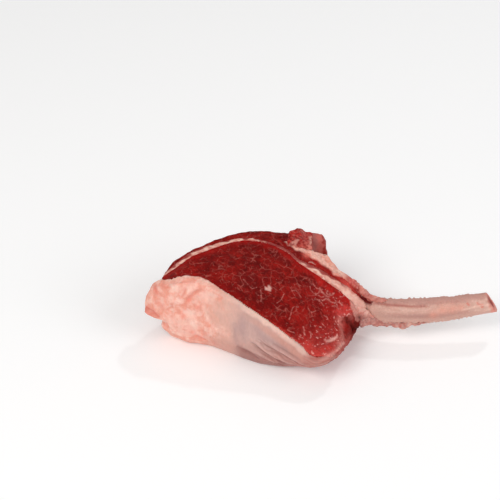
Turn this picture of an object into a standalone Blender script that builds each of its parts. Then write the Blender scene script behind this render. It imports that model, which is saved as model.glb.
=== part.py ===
"""Raw lamb rib chop, frenched, lying on its lower cut face with the other cut face up.

+Z is up, the long way of the chop runs along X, and the rib points to +X.
The fat cap faces -Y. Sizes below are in millimetres; the meshes are in metres.
"""
import math

import bmesh
import bpy
import numpy as np
from mathutils import Matrix, Vector

MM = 0.001

# Thickness of the cut: tall at the cap's thick end, falling to the nose of the eye.
TALL = 33.0
NOSE = 14.5
FALL_DIRECTION = (0.7, -0.714)
FALL_START = -46.0
FALL_LENGTH = 56.0
FACE_CROWN = 0.8
LEFT_DROOP = 7.0
LEFT_DROOP_START = -56.0
LEFT_DROOP_LENGTH = 20.0

# Where the lean lies bare, the surface that cuts off the fat stands this far outside it.
BARE = -1.2

# The outline, counter-clockwise from the left end, at the widest line of the side.
# x, y, waist (height of the widest line as a share of the thickness),
# in_top and in_foot (how far the cut edges lie inside the widest line), fat (its thickness).
STATIONS = (
    (-72.0, 22.0, 0.60, 2.5, 11.0, 5.0),
    (-68.0, 17.0, 0.55, 3.0, 10.0, 5.5),
    (-59.0, 14.0, 0.42, 3.0, 6.5, 5.0),
    (-50.0, 12.6, 0.36, 2.2, 5.0, 3.8),
    (-41.0, 8.8, 0.36, 1.2, 5.0, 2.8),
    (-33.0, 5.4, 0.36, 1.6, 3.6, 1.4),
    (-24.0, 1.2, 0.38, 1.6, 4.2, 1.3),
    (-16.0, -2.2, 0.50, 0.7, 7.5, 1.3),
    (-10.2, -5.6, 0.70, 0.4, 13.0, 1.3),
    (-5.6, -8.8, 0.84, 0.4, 19.0, 1.4),
    (-0.4, -8.0, 0.90, 0.4, 22.0, 1.2),
    (3.8, -4.4, 0.88, 0.4, 20.0, BARE),
    (6.4, 1.0, 0.80, 0.5, 16.0, BARE),
    (7.4, 6.0, 0.60, 1.4, 11.0, BARE),
    (9.2, 11.0, 0.50, 4.5, 7.0, BARE),
    (12.8, 15.4, 0.60, 3.0, 7.5, BARE),
    (15.8, 20.0, 0.90, 0.6, 10.0, BARE),
    (16.2, 28.6, 0.90, 0.6, 8.0, 1.6),
    (11.5, 34.0, 0.60, 2.0, 5.0, 2.4),
    (5.0, 38.5, 0.50, 2.4, 4.0, 2.4),
    (-4.0, 46.0, 0.40, 2.0, 3.0, BARE),
    (-14.0, 51.0, 0.40, 2.0, 3.0, BARE),
    (-28.0, 52.5, 0.40, 2.5, 3.0, BARE),
    (-43.0, 47.5, 0.40, 3.0, 3.0, BARE),
    (-57.0, 38.5, 0.42, 3.0, 4.5, BARE),
    (-68.0, 29.8, 0.52, 3.0, 8.0, 2.0),
)
POINTS_PER_STATION = 3
EDGE_ROUND = 0.7
FOOT_ANGLES = (90, 72, 50, 25)
# Roundness of the underside: 2 is an ellipse, 1 a flat slope.
FOOT_POWER = 1.5
# How thick the fat lies under the chop, as a share of its thickness at the side.
UNDERSIDE_SHARE = 0.6
WALL_SHARES = (0.0, 0.3, 0.6, 0.85)
FACE_RINGS = (0.78, 0.56, 0.34, 0.14)
FACE_CENTRE = (-24.0, 19.0)
# Insets run towards this line through the middle of the chop.
MIDDLE_LINE = ((-48.0, 27.0), (-12.0, 15.0))

# The seam of fat between the eye and the thin muscles over the rib, left to right.
SEAM = (
    (-80.0, 21.0, 1.0),
    (-64.0, 26.0, 1.0),
    (-50.0, 36.5, 1.1),
    (-33.0, 44.0, 0.9),
    (-17.5, 39.0, 0.6),
    (-10.5, 33.8, 0.8),
    (-2.4, 30.6, 1.5),
    (5.0, 27.4, 1.9),
    (11.0, 23.6, 2.3),
    (16.5, 19.2, 2.6),
    (24.0, 12.0, 2.6),
)
SEAM_STEPS = 4

# The rib: its axis from inside the chop to the tip, with the height and width of its section.
RIB_AXIS = (
    (-4.5, 42.0, 14.0, 9.0, 5.0),
    (-0.5, 36.6, 13.5, 9.6, 5.0),
    (5.6, 31.7, 12.9, 10.6, 5.0),
    (11.2, 28.0, 12.6, 11.4, 5.4),
    (17.0, 24.8, 12.7, 12.0, 6.0),
    (25.0, 21.6, 13.8, 12.4, 6.4),
    (36.0, 20.8, 14.7, 12.0, 6.4),
    (48.0, 21.6, 15.3, 11.2, 6.2),
    (60.0, 23.0, 16.2, 10.4, 6.0),
    (72.0, 24.6, 17.4, 10.2, 6.0),
)
RIB_STEPS = 3
RIB_SIDES = 14
# A low ridge along the side of the rib: its height, its place round the section, its narrowness.
RIB_RIDGE = 0.9
RIB_RIDGE_ANGLE = 235.0
RIB_RIDGE_POWER = 6
TIP_CUT_POINT = (66.3, 24.0, 17.0)
TIP_CUT_NORMAL = (0.86, -0.03, 0.51)

# The sawn stub of the backbone at the rib's root, with part of its canal hollowed in its end.
CHINE_SIZE = (17.0, 12.0, 33.2)
CHINE_CENTRE = (-5.8, 45.8, 16.6)
CHINE_TURN = -6.0
# Saw cuts that clip the block: a point of each plane and the direction cut away.
CHINE_CUTS = (
    ((-0.9, 47.0, 31.5), (0.92, 0.0, 0.39)),
    ((-13.0, 51.0, 33.0), (-0.55, 0.75, 0.35)),
    ((-8.0, 47.0, 32.4), (0.20, 0.05, 1.0)),
    ((-12.6, 50.0, 16.0), (-0.70, 0.70, 0.0)),
    ((1.2, 50.2, 8.0), (0.75, 0.65, -0.15)),
)
CANAL_RADIUS = 6.5
CANAL_CENTRE = (1.2, 41.6)
CANAL_FLOOR = 21.0
CANAL_SIDES = 32

# The line that parts the cap's fat (front) from the fat over the rib (back):
# from the left end, round a corner and out between the notch and the rib.
FAT_DIVIDE = ((-120.0, 34.0), (0.0, 12.0), (120.0, 12.0))
# Where the fat over the rib stops short of the chine.
RIB_FAT_END = (-20.0, 120.0)

# Clearance between neighbours, and how far guides reach past the chop.
GAP = 0.3
REACH = 60.0
FAR = 120.0

COLOURS = {
    "eye_muscle": (0.29, 0.030, 0.024),
    "fat_cap": (0.80, 0.46, 0.37),
    "seam_fat": (0.72, 0.40, 0.30),
    "outer_muscle": (0.38, 0.060, 0.050),
    "rib_fat": (0.80, 0.44, 0.34),
    "rib_bone": (0.57, 0.33, 0.26),
    "chine_bone": (0.36, 0.080, 0.065),
}
ROUGHNESS = {"eye_muscle": 0.32, "outer_muscle": 0.34, "chine_bone": 0.45}
FAT_ROUGHNESS = 0.42


def clear_scene():
    for item in list(bpy.data.objects):
        bpy.data.objects.remove(item)


def new_collection(name):
    collection = bpy.data.collections.new(name)
    bpy.context.scene.collection.children.link(collection)
    return collection


def smooth_step(value):
    share = min(max(value, 0.0), 1.0)
    return share * share * (3.0 - 2.0 * share)


def face_height(x, y):
    """Height of the upper cut face, falling towards the nose and a little at the left end."""
    along = FALL_DIRECTION[0] * x + FALL_DIRECTION[1] * y
    fall = (TALL - NOSE) * smooth_step((along - FALL_START) / FALL_LENGTH)
    droop = LEFT_DROOP * smooth_step((LEFT_DROOP_START - x) / LEFT_DROOP_LENGTH)
    return TALL - fall - droop


def catmull_rom(before, start, end, after, share):
    """Point of a smooth curve between start and end, for rows of any length."""
    p0, p1, p2, p3 = (np.array(row, float) for row in (before, start, end, after))
    square = share * share
    cube = square * share
    return 0.5 * (
        2.0 * p1
        + (p2 - p0) * share
        + (2.0 * p0 - 5.0 * p1 + 4.0 * p2 - p3) * square
        + (3.0 * p1 - p0 - 3.0 * p2 + p3) * cube
    )


def smooth_rows(rows, steps, closed):
    """Rows read from the smooth curve through the given rows, steps to each stretch."""
    count = len(rows)
    stretches = count if closed else count - 1
    result = []
    for index in range(stretches):
        if closed:
            picks = [rows[(index + shift) % count] for shift in (-1, 0, 1, 2)]
        else:
            picks = [rows[min(max(index + shift, 0), count - 1)] for shift in (-1, 0, 1, 2)]
        for step in range(steps):
            result.append(catmull_rom(*picks, step / steps))
    if not closed:
        result.append(np.array(rows[-1], float))
    return result


def outward_directions(rows):
    """Unit directions in plan from the chop's middle line to its outline."""
    start, end = (Vector(point) for point in MIDDLE_LINE)
    along = end - start
    directions = []
    for row in rows:
        point = Vector(row[:2])
        share = (point - start).dot(along) / along.length_squared
        nearest = start + along * min(max(share, 0.0), 1.0)
        directions.append((point - nearest).normalized())
    return directions


def side_profile(row):
    """Inset and height, from the foot to the cut edge, of the side at one outline row."""
    x, y, waist, in_top, in_foot = row[:5]
    top = face_height(x, y)
    middle = waist * top
    profile = []
    for degrees in FOOT_ANGLES:
        angle = math.radians(degrees)
        across = 1.0 - math.cos(angle) ** (2.0 / FOOT_POWER)
        down = 1.0 - math.sin(angle) ** (2.0 / FOOT_POWER)
        profile.append((in_foot * across, middle * down))
    rise = top - EDGE_ROUND - middle
    for share in WALL_SHARES:
        profile.append((in_top * share * share, middle + rise * share))
    profile.append((in_top, top - EDGE_ROUND))
    profile.append((in_top + EDGE_ROUND, top))
    return profile


def shell_profile(profile, depth):
    """The side's profile moved inwards by a depth, and run on below and above the cut faces."""
    moved = []
    for index, (inset, height) in enumerate(profile[:-1]):
        lift = 0.0
        if index < len(FOOT_ANGLES):
            lift = UNDERSIDE_SHARE * depth * math.sin(math.radians(FOOT_ANGLES[index]))
        moved.append((inset + depth, height + lift))
    foot = moved[0][0]
    edge = moved[-1][0]
    return [(foot, -REACH)] + moved + [(edge, profile[-1][1] + REACH)]


def ring_at(rows, directions, profiles, level):
    ring = []
    for row, direction, profile in zip(rows, directions, profiles):
        inset, height = profile[level]
        ring.append((row[0] - direction.x * inset, row[1] - direction.y * inset, height))
    return ring


def loft(name, rings, collection):
    """Closed mesh over a stack of rings with as many points each, ends filled flat."""
    mesh = bpy.data.meshes.new(name)
    build = bmesh.new()
    layers = [[build.verts.new(Vector(point) * MM) for point in ring] for ring in rings]
    count = len(layers[0])
    for lower, upper in zip(layers, layers[1:]):
        for index in range(count):
            following = (index + 1) % count
            build.faces.new((lower[index], lower[following], upper[following], upper[index]))
    build.faces.new(list(reversed(layers[0])))
    build.faces.new(layers[-1])
    bmesh.ops.recalc_face_normals(build, faces=build.faces)
    bmesh.ops.triangulate(build, faces=[face for face in build.faces if len(face.verts) == 4])
    build.to_mesh(mesh)
    build.free()
    item = bpy.data.objects.new(name, mesh)
    collection.objects.link(item)
    return item


def outline_rows():
    return smooth_rows(STATIONS, POINTS_PER_STATION, closed=True)


def whole_chop(name, collection):
    """The chop without its bones: side, foot and the gently crowned upper cut face."""
    rows = outline_rows()
    directions = outward_directions(rows)
    profiles = [side_profile(row) for row in rows]
    rings = [ring_at(rows, directions, profiles, level) for level in range(len(profiles[0]))]
    edge = rings[-1]
    for share in FACE_RINGS:
        ring = []
        for x, y, height in edge:
            inner_x = FACE_CENTRE[0] + (x - FACE_CENTRE[0]) * share
            inner_y = FACE_CENTRE[1] + (y - FACE_CENTRE[1]) * share
            crown = FACE_CROWN * (1.0 - share)
            ring.append((inner_x, inner_y, face_height(inner_x, inner_y) + crown))
        rings.append(ring)
    return loft(name, rings, collection)


def inside_of_fat(name, shift, collection):
    """What the fat leaves free, for cutting: it stands proud of the side where there is no fat."""
    rows = outline_rows()
    directions = outward_directions(rows)
    profiles = []
    for row in rows:
        profiles.append(shell_profile(side_profile(row), row[5] + shift))
    rings = [ring_at(rows, directions, profiles, level) for level in range(len(profiles[0]))]
    return loft(name, rings, collection)


def prism(name, outline, collection):
    """Upright block over a flat outline, reaching well past both cut faces."""
    mesh = bpy.data.meshes.new(name)
    build = bmesh.new()
    floor = build.faces.new([build.verts.new(Vector((x, y, -REACH)) * MM) for x, y in outline])
    raised = bmesh.ops.extrude_face_region(build, geom=[floor])
    corners = [item for item in raised["geom"] if isinstance(item, bmesh.types.BMVert)]
    bmesh.ops.translate(build, verts=corners, vec=Vector((0.0, 0.0, 2.0 * REACH)) * MM)
    bmesh.ops.recalc_face_normals(build, faces=build.faces)
    build.to_mesh(mesh)
    build.free()
    item = bpy.data.objects.new(name, mesh)
    collection.objects.link(item)
    return item


def seam_border(side, gap):
    """One border of the seam in plan: side +1 lies towards the rib, -1 towards the eye."""
    rows = smooth_rows(SEAM, SEAM_STEPS, closed=False)
    border = []
    for index, (x, y, half_width) in enumerate(rows):
        ahead = rows[min(index + 1, len(rows) - 1)]
        behind = rows[max(index - 1, 0)]
        along = Vector((ahead[0] - behind[0], ahead[1] - behind[1])).normalized()
        reach = (half_width + gap) * side
        border.append((x - along.y * reach, y + along.x * reach))
    return border


def region_prisms(collection):
    """Blocks that take the eye, the seam, the outer muscles and both fats out of the chop."""
    half_gap = GAP / 2.0
    eye = seam_border(-1, half_gap) + [(FAR, -FAR), (-FAR, -FAR)]
    outer = seam_border(1, half_gap) + [(FAR, FAR), (-FAR, FAR)]
    seam = seam_border(-1, -half_gap) + list(reversed(seam_border(1, -half_gap)))
    left, corner, right = FAT_DIVIDE
    front = [left, (-FAR, -FAR), (FAR, -FAR), right, corner]
    back = [corner, right, (FAR, FAR), RIB_FAT_END]
    return {
        "eye": prism("eye_region", eye, collection),
        "outer": prism("outer_region", outer, collection),
        "seam": prism("seam_region", seam, collection),
        "front": prism("front_region", front, collection),
        "back": prism("back_region", back, collection),
    }


def rib_ring(centre, along, height, width):
    """Upright section of the rib across its axis: an oval with a low ridge on its upper side."""
    side = Vector((along.y, -along.x, 0.0)).normalized()
    up = side.cross(along).normalized()
    ring = []
    for index in range(RIB_SIDES):
        angle = 2.0 * math.pi * index / RIB_SIDES
        nearness = max(0.0, math.cos(angle - math.radians(RIB_RIDGE_ANGLE)))
        ridge = RIB_RIDGE * nearness**RIB_RIDGE_POWER
        outwards = side * math.cos(angle) * (width / 2.0) + up * math.sin(angle) * (height / 2.0)
        ring.append(centre + outwards * (1.0 + 2.0 * ridge / (height + width)))
    return ring


def saw(item, point, direction):
    """Cut a mesh with a plane, dropping the side the direction points to, and close the cut."""
    build = bmesh.new()
    build.from_mesh(item.data)
    cut = bmesh.ops.bisect_plane(
        build,
        geom=list(build.verts) + list(build.edges) + list(build.faces),
        plane_co=Vector(point) * MM,
        plane_no=Vector(direction),
        clear_outer=True,
    )
    rim = [piece for piece in cut["geom_cut"] if isinstance(piece, bmesh.types.BMEdge)]
    bmesh.ops.contextual_create(build, geom=rim)
    bmesh.ops.recalc_face_normals(build, faces=build.faces)
    build.to_mesh(item.data)
    build.free()


def rib(name, growth, collection):
    """The rib, swept along its axis and sawn off obliquely at the tip."""
    rows = smooth_rows(RIB_AXIS, RIB_STEPS, closed=False)
    rings = []
    for index, (x, y, z, height, width) in enumerate(rows):
        ahead = rows[min(index + 1, len(rows) - 1)]
        behind = rows[max(index - 1, 0)]
        along = Vector(ahead[:3] - behind[:3]).normalized()
        rings.append(rib_ring(Vector((x, y, z)), along, height + 2 * growth, width + 2 * growth))
    item = loft(name, rings, collection)
    saw(item, TIP_CUT_POINT, TIP_CUT_NORMAL)
    return item


def chine(name, growth, collection):
    """The sawn block of backbone, turned about its upright axis and clipped by saw cuts."""
    mesh = bpy.data.meshes.new(name)
    build = bmesh.new()
    bmesh.ops.create_cube(build, size=1.0)
    size = Vector(CHINE_SIZE) + Vector((2.0 * growth,) * 3)
    bmesh.ops.scale(build, verts=build.verts, vec=size * MM)
    turn = Matrix.Rotation(math.radians(CHINE_TURN), 3, "Z")
    bmesh.ops.rotate(build, verts=build.verts, matrix=turn)
    bmesh.ops.translate(build, verts=build.verts, vec=Vector(CHINE_CENTRE) * MM)
    build.to_mesh(mesh)
    build.free()
    item = bpy.data.objects.new(name, mesh)
    collection.objects.link(item)
    for point, direction in CHINE_CUTS:
        shifted = Vector(point) + Vector(direction).normalized() * growth
        saw(item, shifted, direction)
    return item


def canal_cutter(collection):
    """Upright cylinder of the canal, from its floor to above the sawn stub."""
    mesh = bpy.data.meshes.new("canal_cutter")
    build = bmesh.new()
    bmesh.ops.create_cone(
        build,
        cap_ends=True,
        segments=CANAL_SIDES,
        radius1=CANAL_RADIUS * MM,
        radius2=CANAL_RADIUS * MM,
        depth=TALL * MM,
    )
    build.to_mesh(mesh)
    build.free()
    item = bpy.data.objects.new("canal_cutter", mesh)
    item.location = Vector((*CANAL_CENTRE, CANAL_FLOOR + TALL / 2.0)) * MM
    collection.objects.link(item)
    return item


def boolean(item, operation, other):
    modifier = item.modifiers.new(f"{operation.lower()}_{other.name}", "BOOLEAN")
    modifier.operation = operation
    modifier.solver = "EXACT"
    modifier.object = other


def finish_material(name):
    colour = COLOURS[name]
    material = bpy.data.materials.new(name)
    material.use_nodes = True
    shader = material.node_tree.nodes["Principled BSDF"]
    shader.inputs["Base Color"].default_value = (*colour, 1.0)
    shader.inputs["Roughness"].default_value = ROUGHNESS.get(name, FAT_ROUGHNESS)
    shader.inputs["Metallic"].default_value = 0.0
    return material


def hide_cutters(collection):
    for item in collection.objects:
        item.hide_render = True
        item.display_type = "WIRE"


def centre_on_base(parts, cutters):
    """Move everything so that the origin is the middle of the chop's foot print."""
    graph = bpy.context.evaluated_depsgraph_get()
    corners = []
    for item in parts.objects:
        shape = item.evaluated_get(graph)
        corners += [shape.matrix_world @ Vector(corner) for corner in shape.bound_box]
    lowest = Vector([min(corner[axis] for corner in corners) for axis in range(3)])
    highest = Vector([max(corner[axis] for corner in corners) for axis in range(3)])
    shift = Vector(((lowest.x + highest.x) / 2.0, (lowest.y + highest.y) / 2.0, lowest.z))
    for item in list(parts.objects) + list(cutters.objects):
        item.location -= shift


def soft_piece(name, keep, remove, parts):
    """A piece of the chop: the whole shape, kept inside some shapes and cleared of others."""
    item = whole_chop(name, parts)
    for other in keep:
        boolean(item, "INTERSECT", other)
    for other in remove:
        boolean(item, "DIFFERENCE", other)
    return item


def build():
    clear_scene()
    parts = new_collection("raw_lamb_chop")
    cutters = new_collection("cutters")
    half_gap = GAP / 2.0
    regions = region_prisms(cutters)
    lean_limit = inside_of_fat("lean_limit", half_gap, cutters)
    fat_limit = inside_of_fat("fat_limit", -half_gap, cutters)
    rib_channel = rib("rib_channel", GAP, cutters)
    chine_socket = chine("chine_socket", GAP, cutters)
    bones = [rib_channel, chine_socket]
    soft_piece("eye_muscle", [lean_limit, regions["eye"]], bones, parts)
    soft_piece("seam_fat", [lean_limit, regions["seam"]], bones, parts)
    soft_piece("outer_muscle", [lean_limit, regions["outer"]], bones, parts)
    soft_piece("fat_cap", [regions["front"]], [fat_limit], parts)
    soft_piece("rib_fat", [regions["back"]], [fat_limit] + bones, parts)
    bone = rib("rib_bone", 0.0, parts)
    boolean(bone, "DIFFERENCE", chine_socket)
    stub = chine("chine_bone", 0.0, parts)
    boolean(stub, "DIFFERENCE", canal_cutter(cutters))
    for item in parts.objects:
        item.data.materials.append(finish_material(item.name))
    hide_cutters(cutters)
    centre_on_base(parts, cutters)


build()
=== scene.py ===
# %% [markdown]
# # A raw lamb chop
# A lamb chop is one slice through the ribs of the animal. From outside in it has a cap of fat with a
# silvery skin over it, the eye of lean, a seam of fat, some thin muscles, and the rib with a stub of
# backbone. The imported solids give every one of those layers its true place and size. This lesson
# gives each of them the surface that the real one has.

import math

import bmesh
import bpy
import numpy as np
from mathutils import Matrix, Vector, noise
from mathutils.bvhtree import BVHTree
from mathutils.kdtree import KDTree


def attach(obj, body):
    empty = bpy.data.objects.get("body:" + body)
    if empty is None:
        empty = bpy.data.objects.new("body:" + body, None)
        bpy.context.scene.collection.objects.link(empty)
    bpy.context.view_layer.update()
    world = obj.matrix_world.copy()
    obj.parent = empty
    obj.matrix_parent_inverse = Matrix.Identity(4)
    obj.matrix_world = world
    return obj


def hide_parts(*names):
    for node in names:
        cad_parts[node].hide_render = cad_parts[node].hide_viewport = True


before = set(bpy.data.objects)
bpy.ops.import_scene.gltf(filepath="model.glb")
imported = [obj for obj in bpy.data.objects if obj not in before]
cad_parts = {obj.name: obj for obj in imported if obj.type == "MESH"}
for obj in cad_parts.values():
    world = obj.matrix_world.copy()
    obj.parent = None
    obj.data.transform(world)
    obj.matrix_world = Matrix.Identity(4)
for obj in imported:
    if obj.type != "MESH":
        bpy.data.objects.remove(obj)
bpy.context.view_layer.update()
MM = 0.001

# %% [markdown]
# ## Camera, floor and light
# The view looks down on the chop from the side of its fat cap. A long lens keeps the bare rib from
# looking stretched. Meat is moist, so it shows what stands around it: large soft lights give broad
# sheens, and one small light from behind gives the sparkle on the wet lean.

# %% Camera
LENS = 120
VIEW_HEIGHT = math.radians(38)
VIEW_DISTANCE = 694.4 * MM
AIM = Vector((-28.7, 38.1, 15)) * MM

camera = bpy.data.objects.new("camera", bpy.data.cameras.new("camera"))
bpy.context.scene.collection.objects.link(camera)
camera.data.lens = LENS
camera.data.clip_start = 0.01
back = Vector((0, -math.cos(VIEW_HEIGHT), math.sin(VIEW_HEIGHT)))
camera.location = AIM + back * VIEW_DISTANCE
camera.rotation_euler = (math.pi / 2 - VIEW_HEIGHT, 0, 0)
bpy.context.scene.camera = camera
print("the camera looks down at", round(math.degrees(VIEW_HEIGHT)), "degrees")

# %% Light
LIGHTS = {
    # name: place in metres, size in metres, watts, colour
    "window": ((-0.55, -0.60, 0.80), 0.60, 5.8, (1, 0.98, 0.96)),
    "fill": ((0.70, -0.35, 0.55), 0.60, 2.4, (0.97, 0.98, 1)),
    "sparkle": ((0.27, 0.36, 0.66), 0.05, 0.6, (1, 1, 1)),
}
SKY = 0.42

for name, (place, size, watts, colour) in LIGHTS.items():
    light = bpy.data.lights.new(name, "AREA")
    light.size = size
    light.energy = watts
    light.color = colour
    lamp = bpy.data.objects.new(name, light)
    lamp.location = place
    lamp.rotation_euler = (-Vector(place)).to_track_quat("-Z", "Y").to_euler()
    bpy.context.scene.collection.objects.link(lamp)
world = bpy.data.worlds.new("studio")
world.use_nodes = True
sky = world.node_tree.nodes["Background"]
sky.inputs["Color"].default_value = (1, 1, 1, 1)
sky.inputs["Strength"].default_value = SKY
bpy.context.scene.world = world
bpy.context.scene.view_settings.view_transform = "Standard"
print(len(LIGHTS), "lights")

# %% [markdown]
# ## Helpers for colour and nodes
# Colours are written as the hex values that a paint chart or a colour picker gives, and one function
# turns them into the linear values that Blender mixes. One more function adds a node, sets it up and
# links it, so that a material reads as a list of its layers. A node given as an input stands for
# its main output.


# %% Colour and nodes
def linear(hex_colour):
    """Linear red, green, blue and alpha of an sRGB hex colour."""
    channels = [int(hex_colour[start : start + 2], 16) / 255 for start in (1, 3, 5)]
    return (*[c / 12.92 if c <= 0.04045 else ((c + 0.055) / 1.055) ** 2.4 for c in channels], 1)


MIXED_COLOUR = 2


def main_output(value):
    """The output that a node stands for; anything else is left as it is."""
    if isinstance(value, bpy.types.Node):
        return value.outputs[MIXED_COLOUR if value.bl_idname == "ShaderNodeMix" else 0]
    return value


def add(tree, kind, inputs=None, **settings):
    """Add a node. Settings are its properties, and inputs are values, sockets or nodes to link."""
    made = tree.nodes.new("ShaderNode" + kind)
    for name, value in settings.items():
        setattr(made, name, value)
    for name, value in (inputs or {}).items():
        value = main_output(value)
        if isinstance(value, bpy.types.NodeSocket):
            tree.links.new(value, made.inputs[name])
        elif isinstance(value, str):
            made.inputs[name].default_value = linear(value)
        else:
            made.inputs[name].default_value = value
    return made


print("the mid grey #808080 is", round(linear("#808080")[0], 3), "in linear light")

# %% [markdown]
# ## Helpers for shaping meat
# Meat has no straight edges, so each layer is treated like clay. A layer starts as a copy of its
# solid. A Remesh modifier gives it an even, fine skin, and a Smooth modifier takes the facets off its
# sides while a vertex group keeps the knife's edges crisp. After that every bump, fold and crease is
# a small move of the skin's points along their normals.

# %% Reading and moving the points of a piece
def pick(piece):
    """Select one object and nothing else."""
    bpy.ops.object.select_all(action="DESELECT")
    piece.select_set(True)
    bpy.context.view_layer.objects.active = piece


def apply_modifiers(piece):
    pick(piece)
    for modifier in list(piece.modifiers):
        bpy.ops.object.modifier_apply(modifier=modifier.name)


def skin_of(piece):
    """Places in millimetres and normals of a piece's points."""
    count = len(piece.data.vertices)
    places = np.zeros(count * 3)
    piece.data.vertices.foreach_get("co", places)
    normals = np.zeros(count * 3)
    piece.data.vertex_normals.foreach_get("vector", normals)
    return places.reshape(-1, 3) / MM, normals.reshape(-1, 3)


def move(piece, places):
    """Put a piece's points at these places, in millimetres."""
    piece.data.vertices.foreach_set("co", (places * MM).ravel())
    piece.data.update()


def paint(piece, name, values):
    """Store one number per point, from 0 to 1, for a material to read."""
    layer = piece.data.attributes.new(name, "FLOAT", "POINT")
    layer.data.foreach_set("value", np.clip(values, 0, 1).astype(np.float32))


print("the solid of the eye has", len(skin_of(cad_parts["eye_muscle"])[0]), "corners")


# %% Which edges stay sharp
CRISP_ANGLE = math.radians(40)
EDGE_STEP = 0.5 * MM


def crisp_edges(mesh):
    """A tree of places along the edges that a knife or saw left sharp."""
    shape = bmesh.new()
    shape.from_mesh(mesh)
    places = []
    for edge in shape.edges:
        if edge.calc_face_angle(0) > CRISP_ANGLE:
            start, end = (vert.co for vert in edge.verts)
            steps = max(2, int((end - start).length / EDGE_STEP))
            places += [start.lerp(end, step / steps) for step in range(steps + 1)]
    shape.free()
    tree = KDTree(len(places))
    for index, place in enumerate(places):
        tree.insert(place, index)
    tree.balance()
    return tree


print("an edge stays sharp above", round(math.degrees(CRISP_ANGLE)), "degrees")


# %% A fine skin over a solid
MERGE = 0.02 * MM
SHARP_RIM = 0.4
LEAST_ROUNDING = 0.05
ROUNDING_PASSES = 60


def fine_skin(node, name, spacing):
    """A copy of a CAD node with an even skin: sides rounded, cut edges kept."""
    piece = bpy.data.objects.new(name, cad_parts[node].data.copy())
    bpy.context.scene.collection.objects.link(piece)
    piece.data.name = name
    piece.data.materials.clear()
    pick(piece)
    bpy.ops.object.mode_set(mode="EDIT")
    bpy.ops.mesh.select_all(action="SELECT")
    bpy.ops.mesh.remove_doubles(threshold=MERGE)
    bpy.ops.object.mode_set(mode="OBJECT")
    edges = crisp_edges(piece.data)
    remesh = piece.modifiers.new("skin", "REMESH")
    remesh.mode = "VOXEL"
    remesh.voxel_size = spacing * MM
    apply_modifiers(piece)
    sides = piece.vertex_groups.new(name="sides")
    for vert in piece.data.vertices:
        away = edges.find(vert.co)[2] / MM
        sides.add([vert.index], min(max(away - SHARP_RIM, LEAST_ROUNDING), 1), "REPLACE")
    rounding = piece.modifiers.new("rounding", "SMOOTH")
    rounding.factor = 0.5
    rounding.iterations = ROUNDING_PASSES
    rounding.vertex_group = "sides"
    even = piece.modifiers.new("even", "SMOOTH")
    even.factor = 0.5
    even.iterations = 2
    apply_modifiers(piece)
    piece.vertex_groups.clear()
    bpy.ops.object.shade_smooth()
    print(name, "has", len(piece.data.vertices), "points")
    return piece


# %% [markdown]
# ## Fields, lines and patches
# A sculptor thinks in places: a lump here, a crease along there. In code each of these is a field,
# one number for every point of the skin, and fields can be added and multiplied before anything
# moves. Noise gives fields that wander as flesh does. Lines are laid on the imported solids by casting
# rays, so a crease or a thread of fat lies on the real surface. All sizes are millimetres.


# %% Fields
NODES = sorted(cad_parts)
CAD_TREES = {}
for node in NODES:
    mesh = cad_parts[node].data
    corners = [vert.co[:] for vert in mesh.vertices]
    CAD_TREES[node] = BVHTree.FromPolygons(corners, [face.vertices[:] for face in mesh.polygons])
print("layers in the frame:", ", ".join(NODES))


def rise(values, low, high):
    """0 below low, 1 above high, and a smooth rise between."""
    part = np.clip((values - low) / (high - low), 0, 1)
    return part * part * (3 - 2 * part)


def fall(values, low, high):
    """1 below low, 0 above high, and a smooth fall between."""
    return 1 - rise(values, low, high)


SEED_SHIFT = 17.3


def lumps(places, size, seed):
    """A smooth random field, about -1 to 1, whose bumps are size millimetres across."""
    scaled = places / size + seed * SEED_SHIFT
    return 2 * np.array([noise.noise(Vector(place)) for place in scaled])


def cobbles(places, size, seed):
    """Rounded cells of about that size: 0 in the grooves between them and 1 on top."""
    scaled = places / size + seed * SEED_SHIFT
    found = [noise.voronoi(Vector(place))[0] for place in scaled]
    return np.array([min(1, 1.6 * (second - first)) for first, second, *_ in found])


def distance_to(places, nodes, limit):
    """Millimetres from each place to the nearest of some CAD nodes, at most limit."""
    result = np.full(len(places), float(limit))
    for node in nodes:
        for index, place in enumerate(places):
            hit = CAD_TREES[node].find_nearest(Vector(place) * MM, limit * MM)
            if hit[0] is not None:
                result[index] = min(result[index], hit[3] / MM)
    return result


# %% Lines laid on the chop
def smooth_line(points, step=0.4):
    """Places every step millimetres along a smooth curve through the points."""
    rows = np.array([points[0], *points, points[-1]], float)
    line = []
    for p0, p1, p2, p3 in zip(rows, rows[1:], rows[2:], rows[3:]):
        count = max(1, int(np.linalg.norm(p2 - p1) / step))
        for t in np.arange(count) / count:
            line.append(
                0.5 * (2 * p1 + (p2 - p0) * t + (2 * p0 - 5 * p1 + 4 * p2 - p3) * t**2
                + (3 * p1 - p0 - 3 * p2 + p3) * t**3)
            )
    line.append(rows[-1])
    return np.array(line)


def cast(origin, direction):
    """First place, in millimetres, where a ray meets the chop."""
    best = None
    for tree in CAD_TREES.values():
        place, _, _, distance = tree.ray_cast(Vector(origin) * MM, Vector(direction))
        if place is not None and (best is None or distance < best[0]):
            best = (distance, place / MM)
    return best[1] if best else None


def on_top(points):
    """A smooth line through (x, y) points, laid on the chop from above."""
    hits = [cast((x, y, 100), (0, 0, -1)) for x, y in smooth_line(points)]
    return np.array([hit for hit in hits if hit is not None])


def on_front(points):
    """A smooth line through (x, z) points, laid on the side of the chop that faces -Y."""
    hits = [cast((x, -100, z), (0, 1, 0)) for x, z in smooth_line(points)]
    return np.array([hit for hit in hits if hit is not None])


print("the middle of the cut is", round(on_top([(-20, 0)])[0][2], 1), "mm up")


# %% Strokes, patches and spots
FAR = 1e9


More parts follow.
